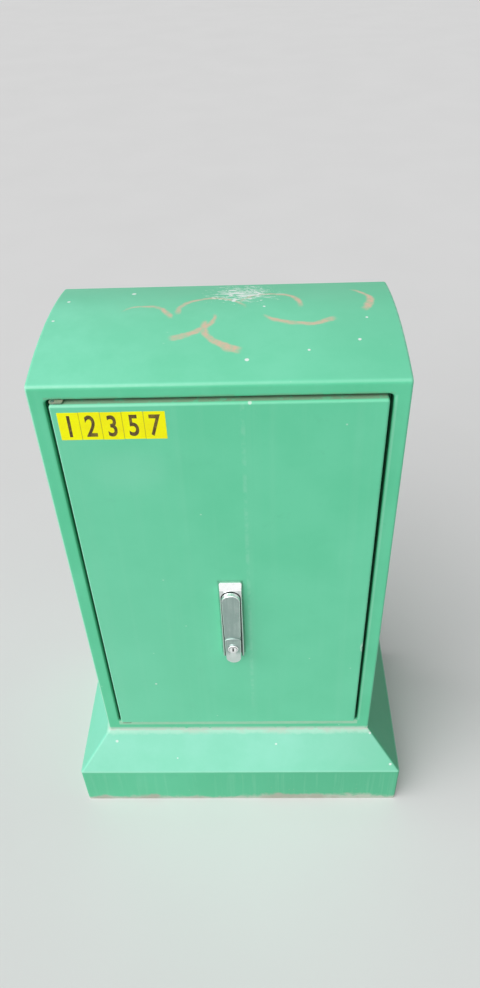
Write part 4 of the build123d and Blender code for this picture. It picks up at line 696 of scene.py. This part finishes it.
def brown_ink_finish():
    """Screen ink of the digits: dark brown, thin and faded unevenly, so yellow shows through."""
    finish, tree, point = new_finish("faded_ink")
    thin = add(tree, "TexNoise", {"Vector": point, "Scale": 1 / 7, "Detail": 5.0, "Roughness": 0.7})[0]
    colour = paint(tree, "4c3a17", [(ramp(tree, thin, 0.4, 0.72), "8a7818")])
    rough = add(tree, "Mix", {0: thin, 2: 0.45, 3: 0.6})[0]
    return close_finish(finish, colour, rough, more={"IOR": 1.5})


def card_finish():
    """White card of the marker strips: matt, a little yellowed in patches."""
    finish, tree, point = new_finish("white_card")
    aged = add(tree, "TexNoise", {"Vector": point, "Scale": 1 / 18, "Detail": 4.0})[0]
    colour = paint(tree, "eeeee8", [(ramp(tree, aged, 0.35, 0.7), "e2dcc6")])
    rough = add(tree, "Mix", {0: aged, 2: 0.6, 3: 0.75})[0]
    return close_finish(finish, colour, rough, more={"IOR": 1.47})


def floor_finish():
    """Pale studio floor with a slight unevenness."""
    finish, tree, point = new_finish("studio_floor")
    soft = add(tree, "TexNoise", {"Vector": point, "Scale": 1 / 400, "Detail": 2.0})[0]
    colour = paint(tree, "dedede", [(soft, "e3e3e3")])
    return close_finish(finish, colour, 0.9, more={"Specular IOR Level": 0.0})


# The number strip's tiles: digit, middle x, width, middle z, height, and degrees turned; then their seams
TILES = (
    ("1", -198.1, 28.2, 915.3, 43.9, 0.1),
    ("2", -169.75, 28.2, 915.5, 44.1, -0.1),
    ("3", -141.4, 28.2, 915.2, 44.0, 0.1),
    ("5", -112.95, 28.4, 915.5, 43.8, -0.15),
    ("7", -84.3, 28.6, 915.3, 44.0, 0.1),
)
TILE_SEAMS = (-183.9, -155.6, -127.2, -98.7)

FINISHES = {
    "plated_fastener": zinc_plate_finish(),
    "hinge_steel": hinge_finish(),
    "galvanised_steel": galvanised_finish(),
    "black_nylon": nylon_finish(),
    "black_rubber": rubber_finish(),
    "base_aluminium": aluminium_finish(),
    "earth_brass": brass_finish(),
    "handle_zinc": lever_finish(),
    "lock_nickel": lock_finish(),
    "module_plastic": ivory_plastic_finish(),
}
OWN_FINISH = {
    "housing": housing_finish(),
    "door": door_finish(),
    "plinth": plinth_finish(),
    "hinge_rivets": FINISHES["hinge_steel"],
    "handle_tray": tray_finish(),
}
for subpart in frame["record"]["subparts"]:
    node = subpart["node"]
    chosen_finish = OWN_FINISH.get(node) or FINISHES[subpart["material_slot"]]
    for slot in bpy.data.objects[node].material_slots:
        slot.material = chosen_finish


# Pieces

def start_fresh():
    """Deselect everything, so that an operator acts on the new piece alone."""
    if bpy.context.object and bpy.context.object.mode != "OBJECT":
        bpy.ops.object.mode_set(mode="OBJECT")
    bpy.ops.object.select_all(action="DESELECT")


def thicken(depth):
    """Extrude the flat piece in edit mode by depth, a vector, turn its faces outward, and leave edit mode."""
    bpy.ops.mesh.select_all(action="SELECT")
    bpy.ops.mesh.extrude_region_move(TRANSFORM_OT_translate={"value": depth})
    bpy.ops.mesh.select_all(action="SELECT")
    bpy.ops.mesh.normals_make_consistent(inside=False)
    bpy.ops.object.mode_set(mode="OBJECT")


def make_plate(place, size, turn, corner, steps, thickness):
    """An upright plate with rounded corners: place is the middle of its back, size its width and height."""
    start_fresh()
    bpy.ops.mesh.primitive_plane_add(size=1.0, location=place,
                                     rotation=(math.radians(90), math.radians(turn), 0.0))
    plate = bpy.context.object
    plate.scale = (*size, 1.0)
    bpy.ops.object.transform_apply(location=True, rotation=True, scale=True)
    bpy.ops.object.mode_set(mode="EDIT")
    bpy.ops.mesh.select_all(action="SELECT")
    bpy.ops.mesh.bevel(offset=corner, segments=steps, affect="VERTICES")
    thicken((0.0, -thickness, 0.0))
    return plate


def repeat(piece, count, step):
    """Copy the piece's mesh count times, step apart."""
    more = piece.modifiers.new("repeat", "ARRAY")
    more.count = count
    more.use_relative_offset = False
    more.use_constant_offset = True
    more.constant_offset_displace = step
    bpy.ops.object.modifier_apply(modifier=more.name)


def settle(piece, name, finish, body):
    """Bake the piece's place into its mesh, and give it its name, finish and body."""
    start_fresh()
    piece.select_set(True)
    bpy.context.view_layer.objects.active = piece
    bpy.ops.object.transform_apply(location=True, rotation=True, scale=True)
    piece.name = name
    piece.data.materials.clear()
    piece.data.materials.append(finish)
    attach(piece, body)
    return piece


# Number strip: five short tiles of reflective vinyl side by side, each put on by hand, so not quite in line
STRIP_Y = DOOR_FACE * MM
TILE_THICKNESS = 0.25 * MM
TILE_CORNER = 0.8 * MM
DIGIT_THICKNESS = 0.1 * MM
DIGIT_SUNK = 0.02 * MM
WIDEST_DIGIT = 15.2 * MM
DIGIT_SHARE = 0.78
vinyl = yellow_vinyl_finish()
ink = brown_ink_finish()


def make_digit(name, number, x, z, height, turn):
    """One plain condensed digit, printed on its tile."""
    start_fresh()
    bpy.ops.object.text_add()
    digit = bpy.context.object
    digit.data.body = number
    digit.data.size = 1.0
    # The offset makes the strokes heavier, as print is
    digit.data.offset = 0.018
    digit.data.extrude = 0.02
    digit.data.resolution_u = 6
    bpy.ops.object.convert(target="MESH")
    bpy.ops.object.mode_set(mode="EDIT")
    bpy.ops.mesh.select_all(action="SELECT")
    bpy.ops.mesh.remove_doubles(threshold=0.00001)
    bpy.ops.object.mode_set(mode="OBJECT")
    digit = bpy.context.object
    low = Vector([min(v.co[i] for v in digit.data.vertices) for i in range(3)])
    high = Vector([max(v.co[i] for v in digit.data.vertices) for i in range(3)])
    drawn = high - low
    # A digit drawn 0.55 wide comes out half as wide as it is tall
    tall = height * DIGIT_SHARE * MM
    broad = min(WIDEST_DIGIT, tall * 0.5 * drawn.x / 0.55)
    digit.data.transform(Matrix.Translation(-(low + high) / 2))
    digit.data.transform(Matrix.Diagonal((broad / drawn.x, tall / drawn.y, DIGIT_THICKNESS / drawn.z, 1.0)))
    digit.location = (x * MM, STRIP_Y - TILE_THICKNESS - DIGIT_THICKNESS / 2 + DIGIT_SUNK, z * MM)
    digit.rotation_euler = (math.radians(90), math.radians(turn), 0.0)
    return settle(digit, name, ink, "door")


for place, (number, x, width, z, height, turn) in enumerate(TILES, 1):
    tile = make_plate((x * MM, STRIP_Y, z * MM), (width * MM, height * MM), turn,
                      TILE_CORNER, 4, TILE_THICKNESS)
    settle(tile, "number_tile_%d" % place, vinyl, "door")
    make_digit("printed_digit_%d" % place, number, x, z, height, turn)


# Contacts in the connection modules: one fork, then ten side by side, two rows, and six modules in a column
MODULE_FRONT = 57.0 * MM
MODULE_COLUMN = 105.0 * MM
LOWEST_MODULE = 710.5 * MM
MODULES = 6
MODULE_STEP = 25.0 * MM
FORKS = 10
FORK_STEP = 9.0 * MM
FORK_WIDTH = 2.3 * MM
FORK_DEPTH = 3.9 * MM
FORK_HEIGHT = 5.4 * MM
FORK_SET_BACK = 3.1 * MM
ROW_STEP = 10.5 * MM
STRIP_SIZE = (86.0 * MM, 3.2 * MM)
STRIP_CORNER = 0.6 * MM
STRIP_THICKNESS = 0.4 * MM
tinned = tinned_finish()
card = card_finish()


def make_forks(name, column):
    """A column's contact forks: each a tinned strip with a slot that opens to the front."""
    start_fresh()
    bpy.ops.mesh.primitive_grid_add(x_subdivisions=3, y_subdivisions=2, size=1.0)
    forks = bpy.context.object
    forks.scale = (FORK_WIDTH, FORK_DEPTH, 1.0)
    bpy.ops.object.transform_apply(scale=True)
    bpy.ops.object.mode_set(mode="EDIT")
    bpy.ops.mesh.select_mode(type="FACE")
    bpy.ops.mesh.select_all(action="DESELECT")
    bpy.ops.object.mode_set(mode="OBJECT")
    # The slot: the front face in the middle goes, and its mouth is spread
    for face in forks.data.polygons:
        face.select = abs(face.center.x) < 0.1 * MM and face.center.y < 0.0
    bpy.ops.object.mode_set(mode="EDIT")
    bpy.ops.mesh.delete(type="FACE")
    bpy.ops.mesh.select_mode(type="VERT")
    bpy.ops.object.mode_set(mode="OBJECT")
    for vertex in forks.data.vertices:
        vertex.select = abs(vertex.co.x) < 0.5 * MM and vertex.co.y < -1.8 * MM
    bpy.ops.object.mode_set(mode="EDIT")
    bpy.ops.transform.resize(value=(1.9, 1.0, 1.0))
    thicken((0.0, 0.0, FORK_HEIGHT))
    repeat(forks, FORKS, (FORK_STEP, 0.0, 0.0))
    repeat(forks, 2, (0.0, 0.0, ROW_STEP))
    repeat(forks, MODULES, (0.0, 0.0, MODULE_STEP))
    forks.location = (column - FORK_STEP * (FORKS - 1) / 2, MODULE_FRONT + FORK_SET_BACK,
                      LOWEST_MODULE - ROW_STEP / 2 - FORK_HEIGHT / 2)
    return settle(forks, name, tinned, "cabinet")


def make_markers(name, column):
    """A column's blank marker strips, one on each module between its two rows of contacts."""
    strips = make_plate((0.0, 0.0, 0.0), STRIP_SIZE, 0.0, STRIP_CORNER, 2, STRIP_THICKNESS)
    repeat(strips, MODULES, (0.0, 0.0, MODULE_STEP))
    strips.location = (column, MODULE_FRONT, LOWEST_MODULE)
    return settle(strips, name, card, "cabinet")


for side, column in (("left", -MODULE_COLUMN), ("right", MODULE_COLUMN)):
    make_forks("contact_forks_" + side, column)
    make_markers("marker_strips_" + side, column)


# Studio: pale floor, one broad soft lamp from the upper left, and even light from all round
start_fresh()
bpy.ops.mesh.primitive_plane_add(size=60.0, location=(0.0, 0.0, 0.0))
floor = bpy.context.object
floor.name = "studio_floor"
floor.data.materials.append(floor_finish())

# The lamp gives a surface that faces it LAMP_LEVEL times its own colour
LAMP_FROM = (-0.46, -0.5, 0.74)
LAMP_SPREAD = 75.0
LAMP_LEVEL = 0.94
lamp = bpy.data.lights.new("key_lamp", "SUN")
lamp.angle = math.radians(LAMP_SPREAD)
lamp.energy = LAMP_LEVEL * math.pi
stand = bpy.data.objects.new("key_lamp", lamp)
bpy.context.scene.collection.objects.link(stand)
stand.rotation_euler = Vector(LAMP_FROM).normalized().to_track_quat("Z", "Y").to_euler()

# The sky is white where it is seen or mirrored, and lights the object at SKY_LEVEL
SKY_LEVEL = 0.2
world = bpy.data.worlds.new("even_sky")
bpy.context.scene.world = world
world.use_nodes = True
sky = world.node_tree
sky.nodes.clear()
path = add(sky, "LightPath")
seen = either(sky, path["Is Camera Ray"], path["Is Glossy Ray"], path["Is Transmission Ray"])
level = add(sky, "Mix", {0: seen, 2: SKY_LEVEL, 3: 1.0})[0]
background = add(sky, "Background", {"Color": (1.0, 1.0, 1.0, 1.0), "Strength": level})
add(sky, "OutputWorld", {"Surface": background[0]})

# Camera: the photograph's viewpoint, fitted to the traced edges of roof, door and plinth
EYE = (0.059, -0.9785, 1.502)
LENS = 28.06
YAW, DOWN, ROLL = math.radians(2.46), math.radians(40.52), math.radians(-2.44)
lens = bpy.data.cameras.new("photo_camera")
lens.sensor_width = 36.0
lens.lens = LENS
lens.clip_end = 100.0
camera = bpy.data.objects.new("photo_camera", lens)
bpy.context.scene.collection.objects.link(camera)
camera.matrix_world = (Matrix.Translation(EYE) @ Matrix.Rotation(YAW, 4, "Z")
                       @ Matrix.Rotation(math.radians(90.0) - DOWN, 4, "X") @ Matrix.Rotation(ROLL, 4, "Z"))
bpy.context.scene.camera = camera

bpy.context.scene.view_settings.view_transform = "Standard"
